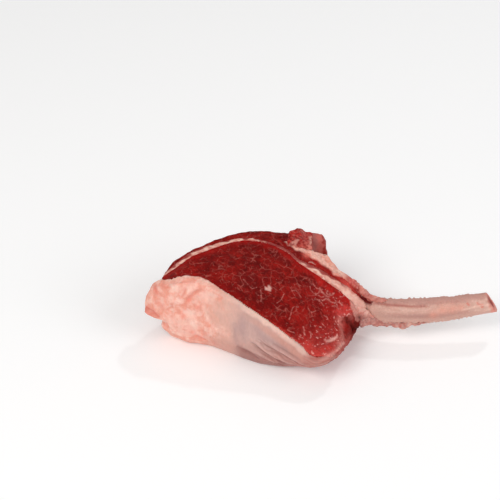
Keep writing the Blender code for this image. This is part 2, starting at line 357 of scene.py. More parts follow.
def stroke(places, line, width, sharp_ends=True):
    """1 on a line, falling to 0 about twice its width away, in millimetres."""
    result = np.zeros(len(places))
    near = np.all(places > line.min(0) - 3 * width, 1) & np.all(places < line.max(0) + 3 * width, 1)
    chosen = places[near]
    if not len(chosen):
        return result
    best = np.full(len(chosen), FAR)
    along = np.zeros(len(chosen))
    for index, point in enumerate(line):
        away = np.linalg.norm(chosen - point, axis=1)
        closer = away < best
        best[closer] = away[closer]
        along[closer] = index / max(len(line) - 1, 1)
    taper = np.sqrt(np.clip(np.sin(np.pi * along), 0, 1)) if sharp_ends else 1
    result[near] = np.exp(-((best / width) ** 2)) * taper
    return result


def strokes(places, table, lay, sharp_ends=True):
    """The strongest of several strokes, each points and a width, laid on the chop by lay."""
    result = np.zeros(len(places))
    for points, width in table:
        result = np.maximum(result, stroke(places, lay(points), width, sharp_ends))
    return result


def press(relief, places, table, way):
    """Press lines on the front into a relief, or raise them. Give each line's mask and height."""
    marks = []
    for points, width, height in table:
        marks.append((stroke(places, on_front(points), width), height))
        relief += way * height * marks[-1][0]
    return marks


def patch(across, up, outline, soft=0.5):
    """1 inside an outline, 0 outside it, with an edge this soft, in millimetres."""
    corners = np.array(outline, float)
    inside = np.zeros(len(across), bool)
    nearest = np.full(len(across), FAR)
    for (x1, y1), (x2, y2) in zip(corners, np.roll(corners, -1, 0)):
        crosses = (y1 > up) != (y2 > up)
        inside ^= crosses & (across < (x2 - x1) * (up - y1) / (y2 - y1 + 1e-12) + x1)
        length = (x2 - x1) ** 2 + (y2 - y1) ** 2
        share = np.clip(((across - x1) * (x2 - x1) + (up - y1) * (y2 - y1)) / length, 0, 1)
        away = np.hypot(across - x1 - share * (x2 - x1), up - y1 - share * (y2 - y1))
        nearest = np.minimum(nearest, away)
    return rise(np.where(inside, nearest, -nearest), -soft, soft)


def spot(places, centre, radius):
    """1 at a place, falling to 0 about twice the radius away."""
    return np.exp(-((np.linalg.norm(places - np.array(centre), axis=1) / radius) ** 2))


at_radius = spot(np.array([(1, 0, 0)]), (0, 0, 0), 1)[0]
print("at its radius a spot keeps", round(float(at_radius), 2), "of its strength")

# %% [markdown]
# ## Painting on the points
# The small marks on meat, such as a red vein or a dark hollow, sit at one place and follow the shape.
# Painting them on the points of the skin keeps them there. Colours are mixed in layers as on a
# canvas, each through a mask, and the share of paint is kept beside the colour, so that the
# material's own pattern still shows where there is little of it.


# %% Brush
TRACE = 0.002


def blank_coat(piece, colour):
    """A coat of paint with almost nothing in it: rows of red, green, blue and share."""
    return np.tile(np.array(linear(colour)) * TRACE, (len(piece.data.vertices), 1))


def brush(coat, colour, mask):
    """Lay a colour over the coat wherever the mask is above 0."""
    share = np.clip(mask, 0, 1)[:, None]
    coat *= 1 - share
    coat += np.array(linear(colour)) * share


def dab(coat, places, marks):
    """Brush soft round marks, each a place, a radius, a colour and a share."""
    for centre, radius, colour, amount in marks:
        brush(coat, colour, spot(places, centre, radius) * amount)


def dry(piece, coat):
    """Store the coat on the piece's points for its material to read."""
    straight = coat.copy()
    straight[:, :3] /= coat[:, 3:]
    layer = piece.data.attributes.new("brushed", "FLOAT_COLOR", "POINT")
    layer.data.foreach_set("color", straight.astype(np.float32).ravel())


def extent(mask):
    """How much of a piece a mask covers, as words for a print."""
    return f"{100 * np.mean(mask > 0.5):.1f}% of the skin"


# %% [markdown]
# ## From a solid to a layer
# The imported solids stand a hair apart, but in meat the layers grow into each other. Each layer is
# therefore pushed out a little on the sides that look at a neighbour, which closes the gaps without
# moving the sides that show.


# %% One layer
HALF_GAP = 0.15
OVERLAP = 0.12
REACH = 0.9
FULL_PUSH = 0.3
FACING = 0.6


def meet_neighbours(piece, node):
    """Grow the hidden sides of a piece until it meets the layers beside it."""
    places, normals = skin_of(piece)
    push = np.zeros(len(places))
    for other in NODES:
        if other == node:
            continue
        for index, (place, normal) in enumerate(zip(places, normals)):
            hit = CAD_TREES[other].find_nearest(Vector(place) * MM, REACH * MM)
            if hit[0] is None:
                continue
            towards = np.array(hit[0] / MM) - place
            if towards @ normal > FACING * hit[3] / MM:
                push[index] = max(push[index], min(1, (REACH - hit[3] / MM) / FULL_PUSH))
    move(piece, places + normals * (push * (HALF_GAP + OVERLAP))[:, None])


def layer(node, name, slot, spacing):
    """One layer of the chop: its skin, grown to its neighbours and tied to the frame."""
    piece = fine_skin(node, name, spacing)
    meet_neighbours(piece, node)
    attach(piece, "root")
    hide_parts(node)
    return piece


def raise_skin(piece, height):
    """Move every point along its normal, millimetres outwards."""
    places, normals = skin_of(piece)
    raised = places + normals * height[:, None]
    raised[:, 2] = np.maximum(raised[:, 2], 0)
    move(piece, raised)


# %% [markdown]
# ## The eye of lean
# The eye is the round loin muscle, cut across its fibres. The knife leaves the cut nearly flat, and
# the ends of the fibre bundles stand up as a fine pebbling that is roughest at the free end. Pale
# threads of fat run through it, which is the marbling. The bundles are a cell pattern squeezed along
# the fibres, and the threads that show best are drawn one by one, because a pattern alone looks
# too even.
# A few short pale strokes among the drawn threads are painted glints on the wet free end.

# %% Eye of lean: where things are
eye = layer("eye_muscle", "eye_of_lean", "eye_lean", 0.36)
places, normals = skin_of(eye)
x, y, z = places.T
FIBRE = np.array([1, 1, 0.3])
cut_face = rise(np.abs(normals[:, 2]), 0.5, 0.8)
top_face = rise(normals[:, 2], 0.45, 0.75)
nose = rise(x - y, 6, 18)
curl_zone = np.exp(-(((x - 3) / 8) ** 2) - ((y + 2) / 5) ** 2) * top_face
near_fat = distance_to(places, ["fat_cap"], 6)
near_seam = distance_to(places, ["seam_fat"], 6)
print("the cut face is", extent(cut_face), "and its free end", extent(nose * cut_face))

# %% Eye of lean: pebbled cut
relief = 0.26 * lumps(places, 13, 1) + 0.08 * lumps(places, 4, 2)
relief += (0.05 + 0.20 * nose + 0.16 * curl_zone) * (cobbles(places * FIBRE, 1.5, 3) - 0.7)
relief *= 0.3 + 0.7 * cut_face
print("the pebbling is up to", round(float(relief.max()), 2), "mm high")

# %% Eye of lean: threads of fat and painted glints
MARBLING_AND_GLINTS = [
    # pale fat on the cut face, and at the end five painted glints: points (x, y), width
    ([(0.5, -20.6), (1.7, -21), (3.6, -19.6), (5.4, -17.8)], 0.72),
    ([(-15.4, -5.2), (-16.6, -8.2), (-18.2, -9.9)], 0.27),
    ([(-24.6, -6), (-24.3, -8), (-24.5, -11)], 0.25),
    ([(-26.6, -7.6), (-25.3, -8.6), (-24.3, -8.3)], 0.22),
    ([(-12.3, -3.2), (-10.5, -2.6), (-8.8, -4.8)], 0.27),
    ([(-9.9, -9.4), (-12, -10.2), (-12.8, -13.1), (-13.5, -15.5)], 0.25),
    ([(-6, -8.8), (-4.7, -9.9), (-3, -8.8)], 0.27),
    ([(-4.7, -9.9), (-4.6, -11.8)], 0.25),
    ([(-31.4, -2.6), (-29.2, -5), (-27.9, -6.2), (-26, -5.2)], 0.22),
    ([(-5, 1.2), (-4.6, -0.4), (-3.1, -1.3), (-1.6, -0.6), (-1.2, 0.6)], 0.27),
    ([(-1, 1.8), (0.6, -0.2), (2.2, -1)], 0.4),
    ([(2, 1.6), (1.8, 0.2), (3.6, 0), (4.6, 1.2)], 0.38),
    ([(0.4, -3), (1.8, -2), (3.4, -3), (5.2, -2.8)], 0.4),
    ([(4.6, -1.4), (6, -2.4), (7.8, -2.2)], 0.25),
    ([(-2.4, -3.6), (-0.8, -4.2), (0.4, -5.4)], 0.32),
    ([(-3.6, 2.6), (-2.4, 1.4), (-1, 1.2), (-0.4, 0)], 0.32),
    ([(3.8, -4.6), (5.2, -4.2), (6.2, -5)], 0.32),
    ([(-1.6, -1.6), (-0.4, -2), (0.6, -1.4)], 0.32),
    # painted glints: short pale strokes where the wet free end catches the light
    ([(-8, -17.2), (-7.6, -18.6)], 0.38),
    ([(-7.8, -19.4), (-7.4, -20.3)], 0.38),
    ([(-14.2, -19.9), (-13, -20.4), (-11.8, -20.5)], 0.32),
    ([(-9.6, -21.6), (-8.2, -21.9)], 0.38),
    ([(-5.4, -18.4), (-4.5, -19.3)], 0.38),
]
threads = strokes(places, MARBLING_AND_GLINTS, on_top, sharp_ends=False)
relief += 0.14 * threads
print(len(MARBLING_AND_GLINTS), "threads of fat cover", extent(threads))

# %% [markdown]
# The end of the eye towards the rib was pulled off the bone, not cut. It has a dark hollow with a
# rounded knuckle above it, a torn side with small teeth, and a sheet of the seam's fat that wraps
# round it. The darkness of the hollow and of the spots under the knuckle is painted shade.

# %% Eye of lean: torn end
HOLLOW = smooth_line([
    (9.6, -7.4, 15.8), (10.5, -6.8, 13.8), (11.8, -7, 11.8), (13.2, -6.2, 9.8),
    (13.6, -6.2, 8.2),
])
wander = 0.7 * lumps(places, 2, 30)
hollow = stroke(places + wander[:, None], HOLLOW, 1.6, sharp_ends=False)
knuckle = spot(places, (11, -5.8, 15.8), 1.6)
relief += 0.3 * knuckle - 1.4 * hollow
side = fall(normals[:, 2], 0.1, 0.5)
right_side = side * rise(x, 2, 6) * rise(-y, 5, 9)
relief += right_side * 0.45 * lumps(places * np.array([1, 1, 1.6]), 2.2, 31)
sheet_edge = 10.7 + 0.55 * (19.3 - z) + 0.35 * lumps(places, 1.6, 63)
fat_sheet = rise(x - sheet_edge, -0.25, 0.25) * rise(z, 12, 13.6) * rise(y, -8.5, -7)
relief += 0.35 * fat_sheet - 1.3 * spot(places, (15, -4.4, 14.4), 3)
TEETH = ((9, -14, 11), (9.4, -11.6, 8.6), (8.4, -17, 10), (7, -21, 12), (9.2, -12.6, 12.6))
for tooth in TEETH:
    relief += 0.9 * spot(places, tooth, 0.8)
relief += 0.9 * spot(places, (13.2, -6.6, 10.2), 2)
raise_skin(eye, relief)
print("eye relief from", round(relief.min(), 2), "to", round(relief.max(), 2), "mm")

# %% [markdown]
# Fresh lamb is a deep red in the middle of the muscle and brighter at its edges, where the air has
# reached it. The side of the muscle is wrapped in thin grey-pink sheets.

# %% Eye of lean: colours of the cut
coat = blank_coat(eye, "#7d1513")
brush(coat, "#8f0f0c", fall(near_fat + 0.7 * lumps(places, 3, 32), 0.3, 2.4) * 0.8 * top_face)
brush(coat, "#9f120f", fall(near_seam + 0.9 * lumps(places, 3, 33), 0.6, 4) * 0.75 * top_face)
bright_edge = fall(near_seam + 0.7 * lumps(places, 2, 70), 0.6, 5) * rise(x, -8, 0)
brush(coat, "#bb1f1b", bright_edge * rise(lumps(places, 2.2, 71), -0.5, 0.3) * 0.75 * top_face)
brush(coat, "#ab1a16", curl_zone * 0.6)
brush(coat, "#a81c17", nose * 0.45 * cut_face)
brush(coat, "#9c1c17", spot(places, (-8.5, -15.5, 20), 5.5) * 0.4 * cut_face)
rim_glow = fall(near_fat + 0.9 * lumps(places, 2.5, 34), 1.5, 7.5) * rise(x - y, 8, 18)
brush(coat, "#c5342c", rim_glow * 0.8 * top_face)
rim_line = fall(near_fat + 0.3 * lumps(places, 1.5, 35), 0.6, 1.6) * rise(x - y, -12, 10)
brush(coat, "#cf4a40", rim_line * 0.7 * top_face)
SMOOTH_PATCH = [(4.4, -6.5), (6.2, -3.9), (8.4, -2.6), (10.4, -1.6), (12, -3.6), (10.4, -5.6), (7, -7.6)]
brush(coat, "#c43a35", patch(x + wander, y + wander, SMOOTH_PATCH, 0.9) * (z > 13) * 0.85)
print("the bright rim is", extent(rim_glow * top_face))

# %% Eye of lean: colours of the side
brush(coat, "#b5564f", right_side * 0.75)
MEMBRANE = smooth_line([
    (7, -8.8, 16.8), (7.6, -11, 15.6), (7.8, -14, 14.4), (7.2, -18, 14.4),
    (6, -22, 15),
])
brush(coat, "#c8766d", stroke(places + wander[:, None], MEMBRANE, 1.7, sharp_ends=False) * 0.75)
SIDE_BANDS = [
    # thin sheets that wrap the end of the muscle: points (x, y, z), width, colour
    ([(0.6, -28.6, 15), (3.4, -26.5, 14.8), (5.9, -23.4, 14.6), (8, -18, 13.2)], 0.8, "#dca095"),
    ([(1, -29.2, 14), (3.8, -27.3, 13.2), (6.7, -23.4, 12.7), (8.8, -17, 10.9)], 0.35, "#a4584f"),
    ([(2, -29.2, 13.2), (4.8, -26.6, 12.4), (7.4, -22.6, 11.6), (9.2, -15.6, 9)], 0.7, "#cf958b"),
    ([(1, -29.6, 11.4), (5, -26.4, 10.8), (8, -21.4, 9.8), (9.4, -14, 7)], 0.9, "#a4584f"),
]
pulled = places + 0.5 * wander[:, None]
for points, width, tint in SIDE_BANDS:
    brush(coat, tint, stroke(pulled, smooth_line(points), width, sharp_ends=False) * 0.75)
print(len(SIDE_BANDS), "sheets wrap the side")

# %% Eye of lean: colours of the torn end, painted shade in its hollow, and the fat
brush(coat, "#c68f85", spot(places, (3.4, -27.6, 13.4), 2.2) * 0.8)
brush(coat, "#b0625a", knuckle * 0.7)
# painted shade: the hollow is brushed dark red, and darkest at its deep end
brush(coat, "#87302b", rise(hollow, 0.05, 0.7) * 0.7)
brush(coat, "#5c0e0b", rise(hollow, 0.3, 0.9) * rise(x, 9.2, 10.6) * 0.85)
# painted shade: near-black dabs in the hollow and under the knuckle
dab(coat, places, [
    ((11.9, -6.9, 11.8), 1.5, "#4a0a08", 0.8),
    ((13.2, -5.9, 9.6), 2.2, "#5c0907", 0.9),
    ((12, -8.4, 9.6), 1.7, "#7d1410", 0.7),
    ((11.4, -8.2, 10.8), 2.3, "#560907", 0.8),
    ((13.4, -5.8, 10.3), 1.9, "#3c0403", 0.85),
    ((12.1, -7.3, 11.2), 1, "#450705", 0.7),
])
# this pale colour paints the threads of fat and also the five glint strokes, as painted highlights
brush(coat, "#c0746b", rise(threads, 0.25, 0.85) * 0.85)
STRIP = [(0.8, -20.8), (1.9, -20.9), (3.6, -19.6), (5.3, -17.9)]
brush(coat, "#e6a99d", stroke(places + 0.4 * wander[:, None], on_top(STRIP), 0.6) * 0.85)
FLECK = [(-23.1, -5.5), (-22.7, -3.9), (-21.9, -4.4), (-21.3, -2.9), (-20.5, -4.2), (-20.3, -5.7)]
brush(coat, "#d9a69b", patch(x + 0.4 * wander, y, FLECK, 0.3) * top_face * 0.9)
brush(coat, "#d08c80", fat_sheet * 0.95)
brush(coat, "#a8665f", fat_sheet * fall(z + 0.4 * lumps(places, 1.5, 64), 14.2, 16.2) * 0.9)
dry(eye, coat)
paint(eye, "wet", np.maximum(nose, 0.7 * curl_zone) * cut_face * (1 - fat_sheet))
paint(eye, "sliced", cut_face)
print("the sheet of fat over the end is", extent(fat_sheet))

# %% [markdown]
# ## The cap of fat
# The outside of the chop is a cap of fat under silverskin, a thin, tight, greyish skin. At one end
# the fat is thick and stands in soft lobes with redder joins, and the tops of some lobes get a
# painted highlight. Towards the nose it thins out, and the skin gathers in long folds. Lobes are
# large rounded cells, and each fold is a groove with a ridge on either side of it, which is how
# pinched skin lies; the groove is painted dark as shade and the ridges pale as highlight. Fine
# wrinkles 1.5 mm apart run along the folds and come and go, with painted shade in their troughs
# and painted highlight on their crests.

# %% Cap of fat: the lip at its end
LEFT_END = -70.6
cap = layer("fat_cap", "cap_of_fat", "cap_fat", 0.32)
places, normals = skin_of(cap)
x, y, z = places.T
notch = rise(z, 5, 11) * fall(z, 13.4, 14.6) * fall(x, -66, -60)
corner = np.exp(-(((z - 15.4) / 1.7) ** 2)) * fall(x, -68.5, -64)
heel = rise(z, 0, 5) * fall(z, 9, 13) * fall(x, -66, -57)
places[:, 0] += 3.4 * notch + 2 * heel - 1.3 * corner
places[:, 0] = np.maximum(places[:, 0], LEFT_END)
move(cap, places)
places, normals = skin_of(cap)
x, y, z = places.T
print("the cap reaches from x =", round(float(x.min()), 1), "to", round(float(x.max()), 1), "mm")

# %% Cap of fat: lobes
lobed = fall(x + 2 * lumps(places, 9, 4), -48, -36)
lobes = cobbles(places + 1.2 * lumps(places, 5, 6)[:, None], 6.5, 5)
relief = lobed * (0.35 * lumps(places, 8, 7) + 0.26 * (lobes - 0.8) + 0.12 * lumps(places, 2.6, 8))
relief += 0.08 * lumps(places, 6, 9)
print("the lobed part is", extent(lobed))

# %% Cap of fat: folds in the skin
FOLDS = [
    # creases, painted dark as shade, on the side that faces the camera: points (x, z), width, depth
    ([(-28.2, 13.2), (-25.6, 11.2), (-22.5, 9.4), (-19, 7.8), (-14.6, 6)], 0.85, 1.1),
    ([(-25, 14.4), (-22, 13.2), (-18.6, 12), (-15, 10.8), (-9.7, 8.7)], 0.7, 0.6),
    ([(-20, 15.4), (-16.6, 14.2), (-12.6, 12.8), (-9.2, 11.6)], 0.6, 0.33),
    ([(-34, 8.3), (-31.5, 7.4), (-28.5, 6.4), (-25, 4.4)], 1.1, 0.6),
    ([(-27, 8.4), (-24, 6.6), (-20, 5), (-15, 3.8)], 0.8, 0.5),
    ([(-8.2, 14.6), (-4.5, 14.2), (0.8, 13.6)], 0.4, 0.35),
    ([(-8.6, 12.2), (-4.5, 12.4), (0.6, 12.2), (4, 12)], 0.45, 0.4),
    ([(-8.6, 10.2), (-3, 10.6), (2, 10.4)], 0.45, 0.35),
    ([(-10, 8), (-4, 8.4), (1, 8.2)], 0.6, 0.4),
]
RIDGES = [
    # folds that stand up beside the creases, painted pale as highlight
    ([(-30, 15.4), (-27.2, 13.8), (-24.6, 12.3), (-20.1, 10.1), (-15.5, 8.4), (-12, 7)], 1, 0.8),
    ([(-31.5, 10.4), (-28.7, 9.4), (-25, 7.9), (-21.7, 6.6), (-17.5, 5.2)], 1.1, 0.65),
    ([(-22, 15.4), (-18.6, 13.6), (-15, 12.4), (-10.9, 11), (-7.5, 10)], 0.9, 0.6),
    ([(-13, 19.2), (-9.8, 17.6), (-8.4, 16.4), (-7.6, 15.2)], 1.1, 0.4),
]
# the depth at which a fold's painted shade is darkest
DARK_DEPTH = 0.6
folds = press(relief, places, FOLDS, -1)
fold = np.max([mark * min(1, depth / DARK_DEPTH) for mark, depth in folds], axis=0)
ridge = np.max([mark for mark, _ in press(relief, places, RIDGES, 1)], axis=0)
print(len(FOLDS), "folds and", len(RIDGES), "ridges")

# %% Cap of fat: creases between the lobes
CREASES = [
    # redder creases in the thick fat at the left: points (x, z), width, depth
    ([(-53.6, 24.4), (-52.4, 26.6), (-50.4, 29), (-47, 31.8)], 0.75, 0.6),
    ([(-57, 26), (-55, 27.4), (-53.4, 31)], 0.6, 0.4),
    ([(-43.4, 31.6), (-41, 31), (-39.8, 30.2), (-41.2, 28.8)], 0.5, 0.3),
    ([(-59.4, 24), (-59.4, 21.8), (-61, 20.4), (-62.8, 19.2)], 0.6, 0.35),
    ([(-64, 28.6), (-61.4, 29.4), (-59.4, 30.2)], 0.7, 0.4),
    ([(-50, 8.4), (-48.6, 6.6), (-46, 5.6)], 0.8, 0.4),
]
crease = np.max([mark for mark, _ in press(relief, places, CREASES, -1)], axis=0)
print(len(CREASES), "creases")

# %% Cap of fat: valley, lip and rim
VALLEY = [(-65, 26.5), (-64.6, 23), (-64.4, 20), (-64.6, 17)]
valley = stroke(places, on_front(VALLEY), 1.5)
LIP_EDGE = smooth_line([(-69.8, -2.3, 17.6), (-67.5, -4.1, 17.7), (-66.2, -4.9, 16.9), (-64.8, -5.5, 15.6)])
lip_edge = stroke(places, LIP_EDGE, 0.6, sharp_ends=False)
rim_lip = fall(distance_to(places, ["eye_muscle"], 3), 0.6, 1.8) * rise(normals[:, 2], 0.4, 0.8)
relief += 0.45 * rim_lip * rise(x, -40, -30) * fall(x, -9, -5)
relief -= 0.7 * valley + 0.4 * lip_edge
WRINKLE = 1.5
SLOPE = 0.42
across = z + SLOPE * (x + 20) + 0.8 * lumps(places, 5, 76)
wrinkled = rise(x, -30, -22) * fall(across, 13, 16)
wrinkled *= fall(np.abs(normals[:, 2]), 0.4, 0.7) * rise(lumps(places, 4, 77), -0.7, 0.3)
wrinkles = wrinkled * np.sin(2 * math.pi * across / WRINKLE)
relief += 0.07 * wrinkles
raise_skin(cap, relief)
print("cap relief from", round(relief.min(), 2), "to", round(relief.max(), 2), "mm")

# %% [markdown]
# The colour of the cap tells how thick the fat is. Thick fat is a warm cream pink. Where it thins
# out, the lean behind the silverskin turns it beige, then grey-mauve. The cap is so thin that every
# point of it is near the lean, so the distance below its upper rim is what places the bands.
# The low side, where the cap curves under, is painted darker as shade.

# %% Cap of fat: distance below its rim
rim_tree = KDTree(len(places))
for index in np.flatnonzero((normals[:, 2] > 0.75) & (z > 12)):
    rim_tree.insert(places[index], index)
rim_tree.balance()
below_rim = np.array([rim_tree.find(place)[2] for place in places])
print("the side of the cap is up to", round(float(below_rim.max()), 1), "mm high")

# %% Cap of fat: colours from thick to thin
drift = x + 2.6 * lumps(places, 8, 36) + 1 * lumps(places, 2.5, 37)
coat = blank_coat(cap, "#f2b3a3")
brush(coat, "#ec9f8b", fall(lobes, 0.2, 0.75) * lobed * 0.35)
LOBE_HIGHLIGHTS = [
    # painted highlights on the tops of lobes: places (x, y, z), radius
    ((-46, -8.9, 28.5), 3), ((-57.6, -5.5, 30.2), 2), ((-52.2, -6.3, 30.4), 2.2),
    ((-59.4, -6.2, 25.8), 1.3), ((-51.6, -8.6, 14.6), 3), ((-52, -8.4, 19), 2.4),
    ((-60, -6.4, 14), 2.6),
]
dab(coat, places, [(*lobe, "#fbd0c2", 0.65) for lobe in LOBE_HIGHLIGHTS])
brush(coat, "#dfae9e", rise(drift, -45, -38) * 0.9)
brush(coat, "#c9a39b", rise(drift, -41, -27) * 0.95)
brush(coat, "#b87c72", rise(drift + (18 - z) * 0.5, -24, -10) * 0.8)
# painted shade: the low side, where the cap curves under, is brushed darker
shaded_low_side = fall(z + 1.2 * lumps(places, 5, 38) + 0.12 * (x + 30), 6, 14)
brush(coat, "#cb9184", shaded_low_side * rise(x, -50, -42) * fall(x, -38, -33) * 0.6)
brush(coat, "#a06a63", shaded_low_side * rise(x, -38, -31) * 0.85)
brush(coat, "#d49a8a", fall(np.abs(below_rim - 2.8), 0.6, 2.2) * rise(x, -36, -22) * 0.6)
rim = fall(below_rim + 0.4 * lumps(places, 3, 39), 0.3, 1.8)
brush(coat, "#f2c8b8", rim * rise(x, -44, -22) * fall(x, -8, -5) * 0.8)
print("the pale rim is", extent(rim))

# %% Cap of fat: layered nose, grey bands and painted shade of a fold
SHEET = 2.1
layers = 0.5 + 0.5 * np.sin(2 * math.pi * (z + 0.5 * lumps(places, 5, 59)) / SHEET)
nose_side = rise(x + 0.6 * (14 - z), -10, -5)
brush(coat, "#b1665b", nose_side * (0.5 + 0.4 * layers))
brush(coat, "#cf968b", nose_side * (1 - layers) * 0.5)
BANDS = [
    # the first two are painted shade along a soft upright fold; the third is a soft grey band where the
    # muscle under the skin shows
    ([(-31.4, 26), (-31.8, 20), (-31.8, 16), (-30.8, 11)], 2.2),
    ([(-34.8, 20.7), (-34.6, 15.9), (-33.6, 9)], 1.5),
    ([(-27, 22), (-24, 17.5), (-19, 15.2), (-13, 13.2)], 2),
]
# one grey brushes all three; on the first two it is painted shade
for points, width in BANDS:
    brush(coat, "#b08f8c", stroke(places, on_front(points), width) * 0.6)
print(len(BANDS), "grey bands")

# %% Cap of fat: colours of creases and red marks, and painted shade and highlight of folds
# painted highlight on the ridges, painted shade in the folds (darker the deeper the fold), and painted shade
# and highlight on the wrinkles' troughs and crests
brush(coat, "#d3aaa0", ridge * 0.65)
brush(coat, "#8a5650", fold * 0.6)
brush(coat, "#a0655c", np.clip(-wrinkles, 0, 1) * 0.4)
brush(coat, "#dfb3a8", np.clip(wrinkles, 0, 1) * 0.25)
brush(coat, "#e58a76", crease * 0.7)
RED_SPOTS = [
    ((-49.2, -8.5, 22.6), 1.3), ((-51.7, -8.3, 10), 1.3), ((-55.1, -8.1, 17.6), 1.1),
    ((-48.6, -8.1, 6.7), 1.6), ((-52.6, -7.3, 25.6), 1),
]
dab(coat, places, [(*place, "#ef9280", 0.7) for place in RED_SPOTS])
RED_STREAK = smooth_line([(-66.6, 0.2, 27.6), (-66.1, -2.1, 27), (-65.6, -3.8, 24.4)])
brush(coat, "#e27764", stroke(places, RED_STREAK, 1.1) * 0.75)
brush(coat, "#ea9f8d", valley * 0.5)
under_lip = fall(z, 16.4, 18.2) * fall(x, -67, -65)
brush(coat, "#dd7f6d", under_lip * 0.8)
brush(coat, "#d2604f", lip_edge * 0.7)
dry(cap, coat)
print(len(LOBE_HIGHLIGHTS), "light lobes and", len(RED_SPOTS), "red spots")

# %% [markdown]
# ## The seam of fat
# A soft band of fat parts the eye from the thin muscles outside it. Its edges are ragged and red,
# because the fat grows in between the fibres, and for a stretch it is only a reddish film.

# %% Seam of fat
seam = layer("seam_fat", "seam_of_fat", "soft_fat", 0.36)
places, normals = skin_of(seam)
x, y, z = places.T
raise_skin(seam, 0.12 * lumps(places, 5, 11) + 0.10 * lumps(places, 2.2, 12))
top_face = rise(np.abs(normals[:, 2]), 0.45, 0.75)
edge = np.minimum(
    distance_to(places, ["eye_muscle"], 3),
    distance_to(places, ["outer_muscle"], 3),
) + 0.8 * lumps(places, 1.6, 40)
coat = blank_coat(seam, "#edbfae")
brush(coat, "#c96a5e", fall(edge, 0.1, 0.9) * 0.75)
lean_edge = distance_to(places, ["outer_muscle"], 3) + 0.9 * lumps(places, 2.6, 60)
middle = rise(x, -9, -6) * fall(x, 5, 9)
red_edge = fall(lean_edge - 0.9 * middle, 0.5, 1)
brush(coat, "#98231f", red_edge * top_face * fall(x, 7, 11) * 0.9)
faded = rise(x + 1.5 * lumps(places, 3, 41), -24, -21) * fall(x, -9.5, -7)
brush(coat, "#8e2320", faded * top_face * 0.9)
dab(coat, places, [
    ((9.5, 1.8, 20), 3, "#f2c4b3", 0.7),
    ((14.8, -0.2, 18), 2.4, "#dd9c8d", 0.7),
])
brush(coat, "#a6645d", rise(x, 12.4, 13.4) * fall(z, 14.6, 16) * 0.9)
dry(seam, coat)
print("the reddish film is", extent(faded * top_face))

# %% [markdown]
# ## The outer lean
# Outside the seam lie some thin muscles, with pale sheets between them, and a pad of fat along the
# back next to the bone. The sheets are fine strokes, and the pad is a raised patch with a soft,
# wandering edge. The sides were pulled from the carcass and keep a faint skin, whose sheen is
# painted on as pale streaks.

# %% Outer lean: sheets and pad
outer = layer("outer_muscle", "outer_lean", "outer_lean", 0.38)
places, normals = skin_of(outer)
x, y, z = places.T
top_face = rise(np.abs(normals[:, 2]), 0.45, 0.75)
relief = 0.25 * lumps(places, 8, 13) + 0.12 * lumps(places, 3, 14)
relief += 0.14 * (cobbles(places * FIBRE, 2.4, 15) - 0.7)
STREAKS = [
    # thin pale sheets between the small muscles: points (x, y), width
    ([(-18.8, 10.7), (-14, 10.2), (-10.4, 10.5), (-7.6, 10.6)], 0.35),
    ([(-18.5, 14), (-15, 13.1), (-11.5, 12.6)], 0.35),
    ([(-15.6, 16.1), (-13.6, 15.4), (-12, 14.6)], 0.42),
    ([(-5.6, 11.6), (-4.6, 12.6), (-3.2, 12.4), (-2.4, 11.6)], 0.35),
    ([(-3.4, 10.8), (-1.6, 10.4), (0.2, 9.9)], 0.3),
    ([(-30, 14), (-25, 15.2), (-20, 15.8)], 0.4),
    ([(-38, 8.6), (-32, 11.4), (-26, 12.6), (-20, 13.2)], 0.35),
    ([(9.4, 6.4), (11.4, 5.2), (12.6, 4.2)], 0.4),
]
streaks = strokes(places, STREAKS, on_top)
BACK_FAT = [
    (-15, 20.5), (-12.6, 18.6), (-10.2, 16.8), (-7.6, 16.2), (-5, 15.1), (-2.3, 13.8),
    (0.5, 12.9), (2.9, 11.9), (3.9, 10.6), (4.3, 9), (7.7, 9.4), (11, 12), (4, 19),
    (-4, 19.5), (-12, 22),
]
wander = 0.4 * lumps(places, 2.8, 42)
back_fat = patch(x + wander, y + wander, BACK_FAT, 0.45) * rise(z, 16, 20)
relief += back_fat * (0.4 + 0.22 * lumps(places, 4.5, 43)) + 0.1 * streaks
raise_skin(outer, relief)
print(len(STREAKS), "pale sheets, and a pad of fat on", extent(back_fat))

# %% Outer lean: colours
coat = blank_coat(outer, "#8f2622")
DARK_LINE = [(-12.7, 17.4), (-8.7, 15), (-5.5, 13.4), (-3, 12.3)]
brush(coat, "#a01f1b", top_face * rise(x, -13, -4) * 0.6)
brush(coat, "#6a1412", stroke(places, on_top(DARK_LINE), 0.55) * 0.6)
# painted shade: the dark end of the slit under the flap
brush(coat, "#650e0c", spot(places, (15.9, 2.2, 18.3), 1.3) * 0.9)
brush(coat, "#98302b", (1 - top_face) * rise(lumps(places, 7, 66), -0.3, 0.5) * 0.6)
# painted sheen: pale streaks on the pulled sides stand for the shine of their skin
sheen = rise(lumps(places * np.array([0.3, 0.3, 1]), 2.6, 67), -0.7, 1.2)
brush(coat, "#a9564e", (1 - top_face) * sheen * 0.45)
brush(coat, "#cb4d45", spot(places, (11, 6.6, 21.5), 4) * 0.9)
brush(coat, "#d9a195", rise(streaks, 0.2, 0.8) * 0.85)
brush(coat, "#eab4a4", back_fat * 0.95)
brush(coat, "#e08572", back_fat * rise(lumps(places, 2.8, 44), 0.1, 0.5) * 0.6)
brush(coat, "#dc6b5e", spot(places, (-6.4, 15.2, 30.2), 1.4) * 0.7)
dry(outer, coat)
paint(outer, "wet", np.zeros(len(places)))
paint(outer, "sliced", top_face)
print("the sheen of skin is", extent((1 - top_face) * sheen))

# %% [markdown]
# ## The fat over the rib
# Where the rib goes into the chop, a soft saddle of fat lies over it. It is lumpy and pink, and it
# turns red where it was torn open to bare the bone.

